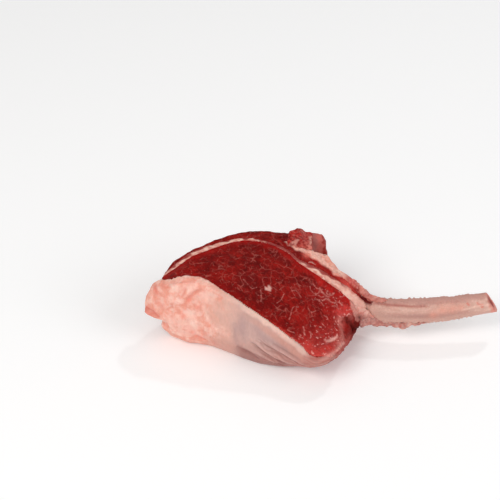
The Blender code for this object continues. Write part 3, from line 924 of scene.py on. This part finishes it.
# %% Fat over the rib
over = layer("rib_fat", "fat_over_rib", "soft_fat", 0.34)
places, normals = skin_of(over)
x, y, z = places.T
relief = 0.3 * lumps(places, 5.5, 16) + 0.08 * lumps(places, 2, 17) + 0.5 * rise(x, 6, 12)
relief += 0.9 * spot(places, (2, 16.4, 28.3), 2.4) + 0.5 * spot(places, (4.6, 13.6, 26.5), 2.4)
raise_skin(over, relief)
coat = blank_coat(over, "#f6c3b2")
brush(coat, "#e9957f", rise(lumps(places, 3, 45), 0.1, 0.5) * 0.5)
brush(coat, "#b9453c", rise(x + lumps(places, 2, 46), 9, 11) * fall(x, 14.5, 15.5) * 0.9)
brush(coat, "#d8948a", spot(places, (9.2, 10.7, 23.6), 1.2) * 0.7)
dry(over, coat)
print("fat over the rib stands up to", round(float(relief.max()), 2), "mm proud")

# %% [markdown]
# ## The rib
# The rib was scraped clean, so it is smooth along its faces, with a shallow groove for the blood
# vessel, and its two edges keep tatters of skin. At the far end the saw left a flat face with red
# marrow in it. Smooth parts get almost no relief. The tatters come from noise that only pushes
# outwards, and only on the edges.
# Its faces are painted darker where they turn up or down, as painted shade, and a pale line along the lower
# middle is a painted highlight.

# %% Rib: groove, marrow and tatters
rib = layer("rib_bone", "rib", "bone", 0.36)
places, normals = skin_of(rib)
x, y, z = places.T
relief = 0.05 * lumps(places * np.array([0.3, 1, 1]), 2.5, 18) + 0.05 * lumps(places, 1.2, 19)
GROOVE = smooth_line([
    (20, 0, 17.9), (24.9, -1.7, 18.6), (30.7, -2.8, 18.9), (36, -3.1, 18.8),
    (43, -3, 18.8),
])
groove = stroke(places, GROOVE, 0.55)
relief -= 0.3 * groove
oval = np.exp(-(((y - 2.6) / 1.7) ** 2) - ((z - 16.6) / 3) ** 2)
marrow = rise(normals[:, 0], 0.45, 0.75) * oval * (x > 60)
relief -= 0.9 * marrow
edges = rise(np.abs(normals[:, 2]), 0.2, 0.45) * fall(np.abs(normals[:, 2]), 0.8, 0.95)
relief += edges * 0.45 * np.maximum(lumps(places, 1, 47) + 0.2, 0) * fall(x, 56, 63)
raise_skin(rib, relief)
print("tattered edges are", extent(edges))

# %% Rib: colours of the faces, with painted shade by the way they turn
coat = blank_coat(rib, "#dcb1a1")
# painted shade: the face turned up is brushed mauve and the faces turned down a little darker, so the pale
# middle reads as a painted highlight
brush(coat, "#c08f84", rise(normals[:, 2] + 0.1 * lumps(places, 4, 61), 0.4, 0.7) * 0.9)
brush(coat, "#cf9f92", fall(normals[:, 2], -0.35, -0.05) * 0.5)
# painted shade: a darker band along the rib's lower side
LOW_SHADE_BAND = smooth_line([
    (20, -1.2, 13.7), (24, -2.6, 13.9), (30, -3.8, 14.3), (38, -4.1, 14.5),
    (46, -3.6, 14.3), (54, -2.8, 15), (61, -1.9, 15.6),
])
brush(coat, "#b07f76", stroke(places, LOW_SHADE_BAND, 1.6) * 0.8)
brush(coat, "#a8574c", groove * 0.75)
PINK_PLACES = [
    ((47.5, -3, 17.2), 2.2), ((51.5, -2.6, 17.4), 2), ((44, -3.6, 15), 1.8),
    ((55, -2.4, 17.6), 1.6),
]
dab(coat, places, [(*place, "#e39b88", 0.65) for place in PINK_PLACES])
print(len(PINK_PLACES), "pink places")

# %% Rib: streaks of blood, a painted highlight and the sawn end
RED_STREAKS = [
    # blood left near the sawn end: points (x, z), width
    ([(57, 19.6), (57.8, 18.8), (58.4, 18)], 0.4),
    ([(61.4, 19.8), (61.6, 18.8), (62.6, 18.2), (64.4, 18.4)], 0.45),
    ([(62.6, 17), (63.6, 17.2), (64.4, 17)], 0.4),
]
for points, width in RED_STREAKS:
    brush(coat, "#d9695a", stroke(places, on_front(points), width) * 0.85)
# painted highlight: a pale line along the lower middle of the bone
HIGHLIGHT_LINE = [(55, 16.4), (58.6, 17), (61.6, 17.8), (65, 18.2)]
brush(coat, "#f0c8b7", stroke(places, on_front(HIGHLIGHT_LINE), 0.45) * 0.7)
sawn = rise(normals[:, 0], 0.45, 0.75) * rise(x, 58, 60)
brush(coat, "#e08c7e", sawn * 0.9)
brush(coat, "#e09485", rise(x + 0.28 * (z - 18) + 0.3 * lumps(places, 1.2, 65), 65.6, 66.4) * 0.9)
SAWN_MARKS = [
    ((67.2, 1.4, 19), 2.1, "#8a2f29"), ((66.9, -0.5, 19.2), 1.2, "#99372f"),
    ((68, 2.6, 15.6), 1.6, "#bd4438"), ((68.6, 0.2, 15.6), 1, "#cf5a4c"),
    ((65.2, -0.8, 20.8), 0.9, "#efcabb"), ((65.6, -1, 18), 0.8, "#efc6b6"),
    ((66.6, -1.2, 15.6), 0.9, "#eac0b0"),
]
dab(coat, places, [(*mark, 0.85) for mark in SAWN_MARKS])
brush(coat, "#8c352f", rise(marrow, 0.3, 0.7) * 0.8)
print(len(RED_STREAKS), "streaks and", len(SAWN_MARKS), "marks on the sawn end")

# %% Rib: where it goes into the meat, with painted shade in the slit
brush(coat, "#c08f85", fall(x, 17, 23) * fall(z, 13, 16) * 0.7)
# painted shade: the slit in the gap between the flap and the bone is brushed near black red
SLIT = smooth_line([
    (15.2, 2.8, 18.3), (16.7, 2.4, 18.1), (17.5, 2, 17.9), (18.3, 1.4, 17.9), (19.3, 0.7, 17.9),
    (20.2, 0.1, 17.8),
])
brush(coat, "#8c3a33", stroke(places, SLIT, 1.3) * 0.7)
brush(coat, "#640403", np.minimum(1, 1.6 * stroke(places, SLIT, 1.15)))
brush(coat, "#6b100d", spot(places, (16.5, 3, 18.4), 1))
dry(rib, coat)
print("the dark slit is", round(float(np.linalg.norm(SLIT[-1] - SLIT[0])), 1), "mm long")

# %% [markdown]
# ## The stub of backbone
# A butcher's saw went through the backbone beside the chop. What is left is a block of spongy bone,
# red with marrow, with the smooth wall of the nerve canal on one side. The block is broken down in
# steps, and a Smooth modifier, held by a vertex group, wears the sponge round but leaves the
# canal's rim sharp.

# %% Backbone stub: steps and wear
stub = layer("chine_bone", "backbone_stub", "sawn_bone", 0.34)
places, normals = skin_of(stub)
x, y, z = places.T
sink = rise(x, -3.7, -3.1) * fall(y, 21, 29)
places[:, 2] = np.where(z > 22, 22 + (z - 22) * (1 - 0.55 * sink), z)
ledge = rise(x, -8.2, -5.6) * rise(y, 21, 25) * 1.2
places[:, 2] -= np.where(z > 29, ledge * (z - 29) / 3.5, 0)
places[:, 2] += 0.5 * rise(y, 23, 27) * fall(x, -8, -6) * (z > 29)
places[:, 0] -= 1 * rise(x, 1, 3.4) * fall(y, 17, 22)
places[:, 0] -= 1.5 * rise(x, 0.8, 3.6) * rise(z, 14, 18) * fall(z, 22, 28)
move(stub, places)
wear = stub.vertex_groups.new(name="worn")
for index, worn in enumerate(fall(x, -4.6, -3.9)):
    wear.add([index], worn, "REPLACE")
soften = stub.modifiers.new("worn", "SMOOTH")
soften.factor = 0.5
soften.iterations = 14
soften.vertex_group = "worn"
apply_modifiers(stub)
stub.vertex_groups.clear()
places, normals = skin_of(stub)
x, y, z = places.T
canal = rise(x, -3.6, -3)
raise_skin(stub, (0.3 * lumps(places, 4.5, 20) + 0.16 * lumps(places, 1.4, 21)) * (1 - 0.7 * canal))
print("the canal's wall is", extent(canal))

# %% Backbone stub: colours
coat = blank_coat(stub, "#b4241f")
brush(coat, "#bd2b26", rise(lumps(places, 1.6, 68), -0.1, 0.3) * 0.6)
dab(coat, places, [
    ((-5, 20.5, 31.5), 2.6, "#c6514a", 0.85),
    ((-6.6, 28.4, 32.6), 1.2, "#cf8a80", 0.8),
    ((-6.4, 25, 32), 2.2, "#b8453f", 0.6),
    ((-5.2, 18.6, 31.8), 1.7, "#dc7c6e", 0.9),
    ((-8, 18.2, 32), 1.6, "#c65d52", 0.8),
])
brush(coat, "#a6625c", canal * 0.9)
brush(coat, "#c9655b", canal * rise(x + 0.9 * lumps(places, 2, 48), -2.6, -0.6) * 0.7)
brush(coat, "#9c2f28", rise(x + 0.6 * lumps(places, 1.5, 62), 0.6, 1.6) * 0.9)
RIM = smooth_line([(-3.9, 26.4, 31.6), (-3.9, 24, 31.6), (-4, 21.6, 31.4), (-4.4, 19, 31)])
brush(coat, "#e3aa9a", stroke(places + 0.4 * lumps(places, 2, 69)[:, None], RIM, 1, sharp_ends=False))
WEDGE = [
    (-13.4, 17), (-13.2, 19), (-11.2, 20.4), (-9.6, 21.9), (-8.8, 21.4), (-9.4, 19.8),
    (-10.2, 18.6), (-8.4, 17.6), (-8.2, 16.8),
]
brush(coat, "#c98a7e", patch(x, y, WEDGE, 0.35) * (z > 24) * 0.9)
foot = fall(z + 0.6 * lumps(places, 2, 49), 30.4, 31.6)
brush(coat, "#d88b7d", foot * (y < 19) * (x < -3.4) * 0.85)
bony = 1 - canal
brush(coat, "#d97c70", bony * rise(lumps(places, 0.8, 74), 0.28, 0.48) * 0.4)
brush(coat, "#7c0d0a", bony * rise(lumps(places, 0.9, 75), 0.15, 0.4) * 0.6)
dry(stub, coat)
print("the rim of the canal is", round(float(np.linalg.norm(RIM[-1] - RIM[0])), 1), "mm long")


# %% [markdown]
# ## Scraps of tissue
# Three loose scraps hang where the meat was cut back from the rib: a flap over it, the tip of the
# seam beside it and a row of tatters under it. Each starts as a circle that is extruded from station
# to station and resized at each one, like a balloon pulled along a wire. A remesh melts the stations
# together, and noise then roughens the skin.


# %% One scrap of tissue
SCRAP_SKIN = 0.28 * MM


def tongue(name, stations, seed, rough):
    """A tapered strip of tissue through stations (x, y, z, half width, half height)."""
    bpy.ops.object.select_all(action="DESELECT")
    first = stations[0]
    bpy.ops.mesh.primitive_circle_add(vertices=12, radius=MM, fill_type="NGON", location=(0, 0, 0))
    piece = bpy.context.object
    piece.name = piece.data.name = name
    bpy.ops.object.mode_set(mode="EDIT")
    bpy.ops.mesh.select_all(action="SELECT")
    bpy.ops.transform.rotate(value=math.pi / 2, orient_axis="Y", center_override=(0, 0, 0))
    bpy.ops.transform.resize(value=(1, first[3], first[4]), center_override=(0, 0, 0))
    bpy.ops.transform.translate(value=Vector(first[:3]) * MM)
    for last, following in zip(stations, stations[1:]):
        step = Vector(following[:3]) - Vector(last[:3])
        bpy.ops.mesh.extrude_region_move(TRANSFORM_OT_translate={"value": step * MM})
        share = (1, following[3] / last[3], following[4] / last[4])
        bpy.ops.transform.resize(value=share, center_override=Vector(following[:3]) * MM)
    bpy.ops.mesh.select_all(action="SELECT")
    bpy.ops.mesh.normals_make_consistent(inside=False)
    bpy.ops.object.mode_set(mode="OBJECT")
    remesh = piece.modifiers.new("skin", "REMESH")
    remesh.mode = "VOXEL"
    remesh.voxel_size = SCRAP_SKIN
    soften = piece.modifiers.new("soften", "SMOOTH")
    soften.factor = 0.5
    soften.iterations = 3
    apply_modifiers(piece)
    bpy.ops.object.shade_smooth()
    places, _ = skin_of(piece)
    raise_skin(piece, rough * (lumps(places, 2.4, seed) + 0.6 * lumps(places, 1.1, seed + 1)))
    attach(piece, "root")
    print(name, "has", len(piece.data.polygons), "faces")
    return piece


# %% Three scraps of tissue
FLAP = [
    (10.4, 10.2, 21.4, 1.4, 1.2), (13, 7.9, 20.6, 2.2, 1.9), (15, 6.5, 20, 2.4, 2.2),
    (17, 3.9, 19.6, 2.2, 1.9), (19, 2.4, 19.4, 1.9, 1.5), (21, 1.1, 19.5, 1.5, 1.1),
    (23.2, -0.1, 19.8, 1, 0.7), (26, -0.6, 20, 0.5, 0.35),
]
flap = tongue("flap_over_rib", FLAP, 51, 0.42)
TIP = [
    (12.4, -1.4, 16.4, 1.3, 2.2), (14.2, -2.2, 15.4, 1.5, 2.9), (15.6, -2.4, 14.9, 1.4, 3.3),
    (17, -2.1, 14.2, 1.2, 2.8), (18.4, -1.3, 13.4, 1.3, 1.9), (19.8, -1.3, 12.5, 1.1, 0.9),
    (20.8, -1.6, 12.1, 0.7, 0.3),
]
tip = tongue("tip_of_seam", TIP, 53, 0.14)
TATTERS = [
    (13.4, -3.6, 11.4, 1.6, 1.9), (17, -2.1, 10.3, 1.5, 2.5), (20, -1.6, 10, 1.2, 2.1),
    (23, -1.8, 9.8, 1, 1.7), (26, -2.3, 9.2, 0.9, 1.7), (28, -2.9, 9.8, 0.7, 0.7),
    (30.2, -3.1, 9.4, 1, 1.3), (32, -3.3, 8.8, 1.2, 2), (34, -3.3, 9.8, 0.9, 1),
    (37, -3.3, 10, 0.6, 0.6), (42, -3, 10.4, 0.35, 0.3),
]
tatters = tongue("tatters_under_rib", TATTERS, 55, 0.45)

# %% Colours of the scraps
TISSUE_MARKS = {
    # places (x, y, z), radius, colour
    "flap_over_rib": ("#c47a6d", [
        ((10.8, 9.2, 22.6), 2.2, "#cf554d"), ((12.1, 7.9, 22), 2.6, "#ca4d46"),
        ((13.4, 6.1, 21.4), 1.8, "#bd4840"), ((11.6, 7, 20.4), 1.6, "#b8352f"),
        ((14.4, 5, 20.6), 1.2, "#96201c"), ((12.6, 9.6, 22.8), 0.8, "#e9a092"),
        ((15.6, 8, 21.8), 1.3, "#e8ab9b"), ((16.2, 4.4, 21.4), 1.2, "#dd8a7a"),
        ((17.2, 6, 21.2), 1.1, "#e8a898"), ((18.2, 2.8, 20.8), 1.4, "#c67c71"),
        # the next two dark marks lie on the flap's lower front edge: painted shade of the slit under it
        ((17, 2.6, 19.4), 1.2, "#a52d28"), ((18.8, 1.4, 19.2), 1, "#93201b"),
        ((19.2, 1.6, 20.2), 0.5, "#bb2521"), ((21.6, 0.2, 20.2), 1, "#cd8a7e"),
    ]),
    "tip_of_seam": ("#cb8b7f", [
        ((13.2, -2.6, 18.2), 2, "#e2a697"), ((15.4, -1.8, 17.6), 1.6, "#e8b1a2"),
        ((17, -2.4, 16.4), 1.1, "#eebdad"), ((18.6, -2.4, 14.8), 1, "#f0c2b2"),
        ((19.9, -2.4, 13.2), 0.9, "#ecbbab"), ((14.6, -3.6, 12.6), 2, "#9f5f59"),
        ((17, -3, 12.2), 1.5, "#ab6d65"), ((15.8, -3.8, 15.2), 1, "#cf877b"),
        ((18.9, -2.3, 12.4), 0.9, "#b87a70"),
    ]),
    "tatters_under_rib": ("#a9746d", [
        ((14, -4.4, 11), 2.2, "#985f5a"), ((26.2, -3.4, 8), 1, "#dcaa9b"),
        ((30, -3.8, 8.6), 1.1, "#e6b9aa"), ((32.2, -4, 7.8), 1.4, "#ecc0b1"),
        ((31.2, -4.2, 9.6), 0.6, "#c25a50"), ((17.6, -3, 8.2), 0.8, "#a54a44"),
        ((35, -3.8, 9.8), 1.2, "#e0b2a3"), ((24.6, -3.4, 10), 0.9, "#b96e66"),
    ]),
}
for piece in (flap, tip, tatters):
    places, _ = skin_of(piece)
    base, marks = TISSUE_MARKS[piece.name]
    coat = blank_coat(piece, base)
    brush(coat, base, np.full(len(places), 0.8))
    dab(coat, places, [(*mark, 0.9) for mark in marks])
    brush(coat, "#e39a8c", rise(lumps(places, 0.9, 72), 0.15, 0.5) * 0.4)
    brush(coat, "#a83a33", rise(lumps(places, 1.1, 73), 0.2, 0.5) * 0.35)
    dry(piece, coat)
    print(piece.name, "has", len(marks), "marks")


# %% [markdown]
# ## What every material shares
# Meat, fat and bone are all wet and let some light in, so they share one finish: an index of
# refraction a little above water's, some scattering under the surface that goes deepest for red, and
# a bump from the same grain that varies the roughness. The painted coat is mixed over each
# material's own pattern by its share. Sizes become scales in one way: a pattern with cells so many
# millimetres across has a scale of one over that number, on Object coordinates in millimetres.


# %% Shared finish
def new_material(name):
    """A material, its tree, its shader and the places on the piece in millimetres."""
    material = bpy.data.materials.new(name)
    material.use_nodes = True
    tree = material.node_tree
    place = add(tree, "TexCoord").outputs["Object"]
    mm = add(tree, "VectorMath", {0: place, "Scale": 1 / MM}, operation="SCALE")
    return material, tree, tree.nodes["Principled BSDF"], mm


def over_paint(tree, colour):
    """Put the brushwork over a pattern. Also gives how much paint there is."""
    coat = add(tree, "Attribute", attribute_name="brushed")
    amount = coat.outputs["Alpha"]
    return add(tree, "Mix", {0: amount, 6: colour, 7: coat}, data_type="RGBA"), amount


def grained(tree, colour, grain, depth):
    """Let a fine grain make a colour a little darker and lighter."""
    shade = add(tree, "MapRange", {"Value": grain, 1: 0.3, 2: 0.7, 3: 1 - depth, 4: 1 + depth})
    return add(tree, "VectorMath", {0: colour, "Scale": shade}, operation="SCALE")


def finish_shader(tree, shader, colour, roughness, height, bump, scatter, scatter_mm):
    """Link a material's colour, roughness and height, and set what is the same all over."""
    relief = add(tree, "Bump", {"Strength": 1, "Distance": bump * MM, "Height": height})
    links = {"Base Color": colour, "Roughness": roughness, "Normal": relief, "Coat Normal": relief}
    for name, value in links.items():
        tree.links.new(main_output(value), shader.inputs[name])
    shader.inputs["IOR"].default_value = 1.4
    shader.inputs["Coat Roughness"].default_value = 0.1
    shader.inputs["Subsurface Weight"].default_value = scatter
    shader.inputs["Subsurface Radius"].default_value = (1, 0.35, 0.22)
    shader.inputs["Subsurface Scale"].default_value = scatter_mm * MM


# %% [markdown]
# ## Raw lean
# Raw lamb, cut across the grain. Muscle is built of bundles about 1.5 mm across, each of its own
# tone, and slanting strands of about 1.7 by 0.4 mm run over them, which gives the eye a soft
# mottling and not a flat red. Fat grows between larger groups of bundles in broken nets, here of 4.4
# and 2.2 mm. Meat juice makes the rough free end glisten, and the glints are drawn as small pale
# flecks, because a full wet coat would turn the red to grey. The single fibres are 0.05 mm thick and
# too fine to show, so the grain is drawn at about 0.7 mm.


# %% Lean: bundles of fibres
def bundles_of_fibres(tree, mm, fibre, bent):
    """Colour of the bundles, the height of their ends, broad blotches and the share of paint."""
    blotch = add(tree, "TexNoise", {"Vector": fibre, "Scale": 1 / 7, "Detail": 4})
    shade = add(tree, "MapRange", {"Value": blotch, 1: 0.38, 2: 0.62}, interpolation_type="SMOOTHSTEP")
    colour = add(tree, "Mix", {0: shade, 6: "#6f0c0a", 7: "#89140f"}, data_type="RGBA")
    colour, painted = over_paint(tree, colour)
    bundles = add(tree, "TexVoronoi", {"Vector": bent, "Scale": 1 / 1.5}, feature="F1")
    own = add(tree, "SeparateColor", {"Color": bundles.outputs["Color"]})
    grain = add(tree, "TexNoise", {"Vector": mm, "Scale": 1.5, "Detail": 3})
    both = add(tree, "Math", {0: own, 1: 0.3, 2: grain}, operation="MULTIPLY_ADD")
    swing = add(tree, "MapRange", {"Value": both, 1: 0.4, 2: 0.9, 3: -1, 4: 1})
    slanted = add(tree, "VectorRotate", {"Vector": bent, "Angle": 0.6}, rotation_type="Z_AXIS")
    drawn_out = add(tree, "VectorMath", {0: slanted, 1: (0.6, 2.4, 0.6)}, operation="MULTIPLY")
    strand = add(tree, "TexNoise", {"Vector": drawn_out, "Scale": 1, "Detail": 2})
    strand = add(tree, "MapRange", {"Value": strand, 1: 0.3, 2: 0.7, 3: -0.5, 4: 0.5})
    swing = add(tree, "Math", {0: swing, 1: strand}, operation="ADD")
    loud = add(tree, "MapRange", {"Value": painted, 3: 0.34, 4: 0.17})
    value = add(tree, "Math", {0: swing, 1: loud, 2: 1}, operation="MULTIPLY_ADD")
    colour = add(tree, "VectorMath", {0: colour, "Scale": value}, operation="SCALE")
    height = add(tree, "Math", {0: own, 1: 0.5, 2: grain}, operation="MULTIPLY_ADD")
    return colour, height, blotch, painted


# %% Lean: threads of fat
NETS = [
    # mesh in mm, thickness and gap size, where the gaps end, strength
    (4.4, 0.06, 2.6, 0.50, 0.58),
    (2.2, 0.08, 2.2, 0.53, 0.46),
]


def threads_of_fat(tree, fibre, bent):
    """Nets of pale threads with gaps in them, and small dots between."""
    dots = add(tree, "TexVoronoi", {"Vector": bent, "Scale": 1 / 1.9}, feature="F1")
    dot = add(tree, "MapRange", {"Value": dots, 1: 0.08, 2: 0.16, 3: 1, 4: 0})
    chosen = add(tree, "SeparateColor", {"Color": dots.outputs["Color"]}).outputs[1]
    chosen = add(tree, "MapRange", {"Value": chosen, 1: 0.62, 2: 0.68, 3: 0, 4: 0.55})
    threads = add(tree, "Math", {0: dot, 1: chosen}, operation="MULTIPLY")
    for mesh_size, width, gap, low, strength in NETS:
        cells = add(tree, "TexVoronoi", {"Vector": bent, "Scale": 1 / mesh_size}, feature="DISTANCE_TO_EDGE")
        line = add(tree, "MapRange", {"Value": cells, 1: 0, 2: width, 3: strength, 4: 0})
        where = add(tree, "TexNoise", {"Vector": fibre, "Scale": 1 / gap, "Detail": 2})
        broken = add(tree, "MapRange", {"Value": where, 1: low - 0.06, 2: low + 0.16})
        part = add(tree, "Math", {0: line, 1: broken}, operation="MULTIPLY")
        threads = add(tree, "Math", {0: threads, 1: part}, operation="MAXIMUM")
    return threads


# %% Lean material
def lean_material():
    """Wet lean: bundles of fibres seen end on, with broken threads of fat between them."""
    material, tree, shader, mm = new_material("raw_lean")
    fibre = add(tree, "VectorMath", {0: mm, 1: (1, 1, 0.3)}, operation="MULTIPLY")
    drift = add(tree, "TexNoise", {"Vector": fibre, "Scale": 1 / 3.5, "Detail": 3}).outputs["Color"]
    bent = add(tree, "VectorMath", {0: drift, 1: (2.6, 2.6, 2.6), 2: fibre}, operation="MULTIPLY_ADD")
    colour, height, blotch, painted = bundles_of_fibres(tree, mm, fibre, bent)
    threads = threads_of_fat(tree, fibre, bent)
    bare = add(tree, "Math", {0: 1, 1: painted}, operation="SUBTRACT")
    sliced = add(tree, "Attribute", attribute_name="sliced").outputs["Fac"]
    sliced = add(tree, "MapRange", {"Value": sliced, 3: 0.3, 4: 1})
    bare = add(tree, "Math", {0: bare, 1: sliced}, operation="MULTIPLY")
    threads = add(tree, "Math", {0: threads, 1: bare}, operation="MULTIPLY")
    colour = add(tree, "Mix", {0: threads, 6: colour, 7: "#bd675d"}, data_type="RGBA")
    wet = add(tree, "Attribute", attribute_name="wet").outputs["Fac"]
    glint = add(tree, "TexNoise", {"Vector": bent, "Scale": 0.9, "Detail": 2})
    glint = add(tree, "MapRange", {"Value": glint, 1: 0.595, 2: 0.665, 3: 0, 4: 0.8})
    glint = add(tree, "Math", {0: glint, 1: wet}, operation="MULTIPLY")
    colour = add(tree, "Mix", {0: glint, 6: colour, 7: "#e9a59b"}, data_type="RGBA")
    thin_wet = add(tree, "Math", {0: wet, 1: 0.2}, operation="MULTIPLY")
    tree.links.new(main_output(thin_wet), shader.inputs["Coat Weight"])
    shader.inputs["Specular IOR Level"].default_value = 0.07
    rough = add(tree, "MapRange", {"Value": blotch, 1: 0.3, 2: 0.7, 3: 0.38, 4: 0.55})
    finish_shader(tree, shader, colour, rough, height, 0.12, 0.12, 1)
    return material


lean = lean_material()
eye.data.materials.append(lean)
outer.data.materials.append(lean)
print(lean.name, "has", len(lean.node_tree.nodes), "nodes")


# %% [markdown]
# ## Fat
# Raw fat, pulled and cut. It is waxy: pale, soft-edged and a little translucent, with lobules of
# about 4 mm whose joins are pinker, and it shines softly. Under silverskin it also shows fine
# streaks along the skin's fibres. One function makes both, with the streaks' direction as a value.


# %% Fat materials
def fat_material(name, pale, pink, red, streaky):
    """Moist fat: pale lobes with pinker joins; fine streaks where skin covers it."""
    material, tree, shader, mm = new_material(name)
    patchy = add(tree, "TexNoise", {"Vector": mm, "Scale": 1 / 3.2, "Detail": 4, "Roughness": 0.6})
    soft = add(tree, "MapRange", {"Value": patchy, 1: 0.36, 2: 0.64}, interpolation_type="SMOOTHSTEP")
    colour = add(tree, "Mix", {0: soft, 6: pink, 7: pale}, data_type="RGBA")
    drift = add(tree, "TexNoise", {"Vector": mm, "Scale": 1 / 4, "Detail": 3}).outputs["Color"]
    bent = add(tree, "VectorMath", {0: drift, 1: (4, 4, 4), 2: mm}, operation="MULTIPLY_ADD")
    cells = add(tree, "TexVoronoi", {"Vector": bent, "Scale": 1 / 4}, feature="DISTANCE_TO_EDGE")
    vein = add(tree, "MapRange", {"Value": cells, 1: 0, 2: 0.12, 3: 0.5, 4: 0})
    where = add(tree, "MapRange", {"Value": patchy, 1: 0.5, 2: 0.6, 3: 1, 4: 0})
    vein = add(tree, "Math", {0: vein, 1: where}, operation="MULTIPLY")
    colour = add(tree, "Mix", {0: vein, 6: colour, 7: red}, data_type="RGBA")
    along = add(tree, "VectorMath", {0: mm, 1: streaky}, operation="MULTIPLY")
    streak = add(tree, "TexNoise", {"Vector": along, "Scale": 1.2, "Detail": 4})
    colour = grained(tree, over_paint(tree, colour)[0], streak, 0.055)
    rough = add(tree, "MapRange", {"Value": streak, 3: 0.38, 4: 0.55})
    finish_shader(tree, shader, colour, rough, streak, 0.12, 0.2, 1.6)
    return material


skinned_fat = fat_material("fat_and_silverskin", "#f8cbbc", "#eb9f8b", "#e68a75", (1, 0.7, 0.4))
cap.data.materials.append(skinned_fat)
soft_fat = fat_material("soft_fat", "#f0c3b2", "#e2a08f", "#cf7465", (1, 1, 1))
for piece in (seam, over, flap, tip, tatters):
    piece.data.materials.append(soft_fat)
for made in (skinned_fat, soft_fat):
    print(made.name, "has", len(made.node_tree.nodes), "nodes")


# %% [markdown]
# ## Bone
# Two finishes of one stuff. Scraped bone is smooth, creamy and pink, with streaks along the rib and
# specks where skin is left. Sawn bone is a red sponge of struts and marrow with pores near 0.8 mm.
# Both are duller than the meat, because the saw and the scraper leave them dry.


# %% Bone materials
def bone_material(name, dark, light, along, speck, specks_per_mm, shine):
    """Bone: dark and light streaks along the rib, or red sponge where it is sawn."""
    material, tree, shader, mm = new_material(name)
    long_way = add(tree, "VectorMath", {0: mm, 1: along}, operation="MULTIPLY")
    streak = add(tree, "TexNoise", {"Vector": long_way, "Scale": 0.6, "Detail": 4})
    soft = add(tree, "MapRange", {"Value": streak, 1: 0.38, 2: 0.62}, interpolation_type="SMOOTHSTEP")
    colour = add(tree, "Mix", {0: soft, 6: dark, 7: light}, data_type="RGBA")
    grain = add(tree, "TexNoise", {"Vector": mm, "Scale": specks_per_mm, "Detail": 3})
    dots = add(tree, "MapRange", {"Value": grain, 1: 0.6, 2: 0.72, 3: 0, 4: 0.6})
    colour = add(tree, "Mix", {0: dots, 6: colour, 7: speck}, data_type="RGBA")
    colour = grained(tree, over_paint(tree, colour)[0], grain, 0.06)
    rough = add(tree, "MapRange", {"Value": grain, 3: 0.4, 4: 0.6})
    shader.inputs["Specular IOR Level"].default_value = shine
    finish_shader(tree, shader, colour, rough, grain, 0.14, 0.08, 0.8)
    return material


BONES = [
    # piece, name, dark, light, stretch, specks, specks per mm, shine
    (rib, "scraped_bone", "#d6a798", "#dcb1a2", (0.3, 1, 1), "#ecc6b8", 1.6, 0.25),
    (stub, "sawn_sponge_bone", "#7d100e", "#b3302a", (1, 1, 1), "#c2493f", 1.3, 0.1),
]
for piece, *finish in BONES:
    made = bone_material(*finish)
    piece.data.materials.append(made)
    print(made.name, "has", len(made.node_tree.nodes), "nodes")

# %% [markdown]
# ## The floor
# The chop lies on white paper. The paper glows very slightly, which lifts the shadow under the chop
# the way a light table does.

# %% Floor
UNDER = 0.05 * MM
bpy.ops.object.select_all(action="DESELECT")
bpy.ops.mesh.primitive_plane_add(size=4, location=(0, 0, -UNDER))
floor = bpy.context.object
floor.name = "floor"
paper = bpy.data.materials.new("white_paper")
paper.use_nodes = True
surface = paper.node_tree.nodes["Principled BSDF"].inputs
surface["Base Color"].default_value = linear("#f8f8f8")
surface["Roughness"].default_value = 0.9
surface["Emission Color"].default_value = linear("#ffffff")
surface["Emission Strength"].default_value = 0.12
floor.data.materials.append(paper)
print("the floor is", round(max(floor.dimensions)), "m wide")
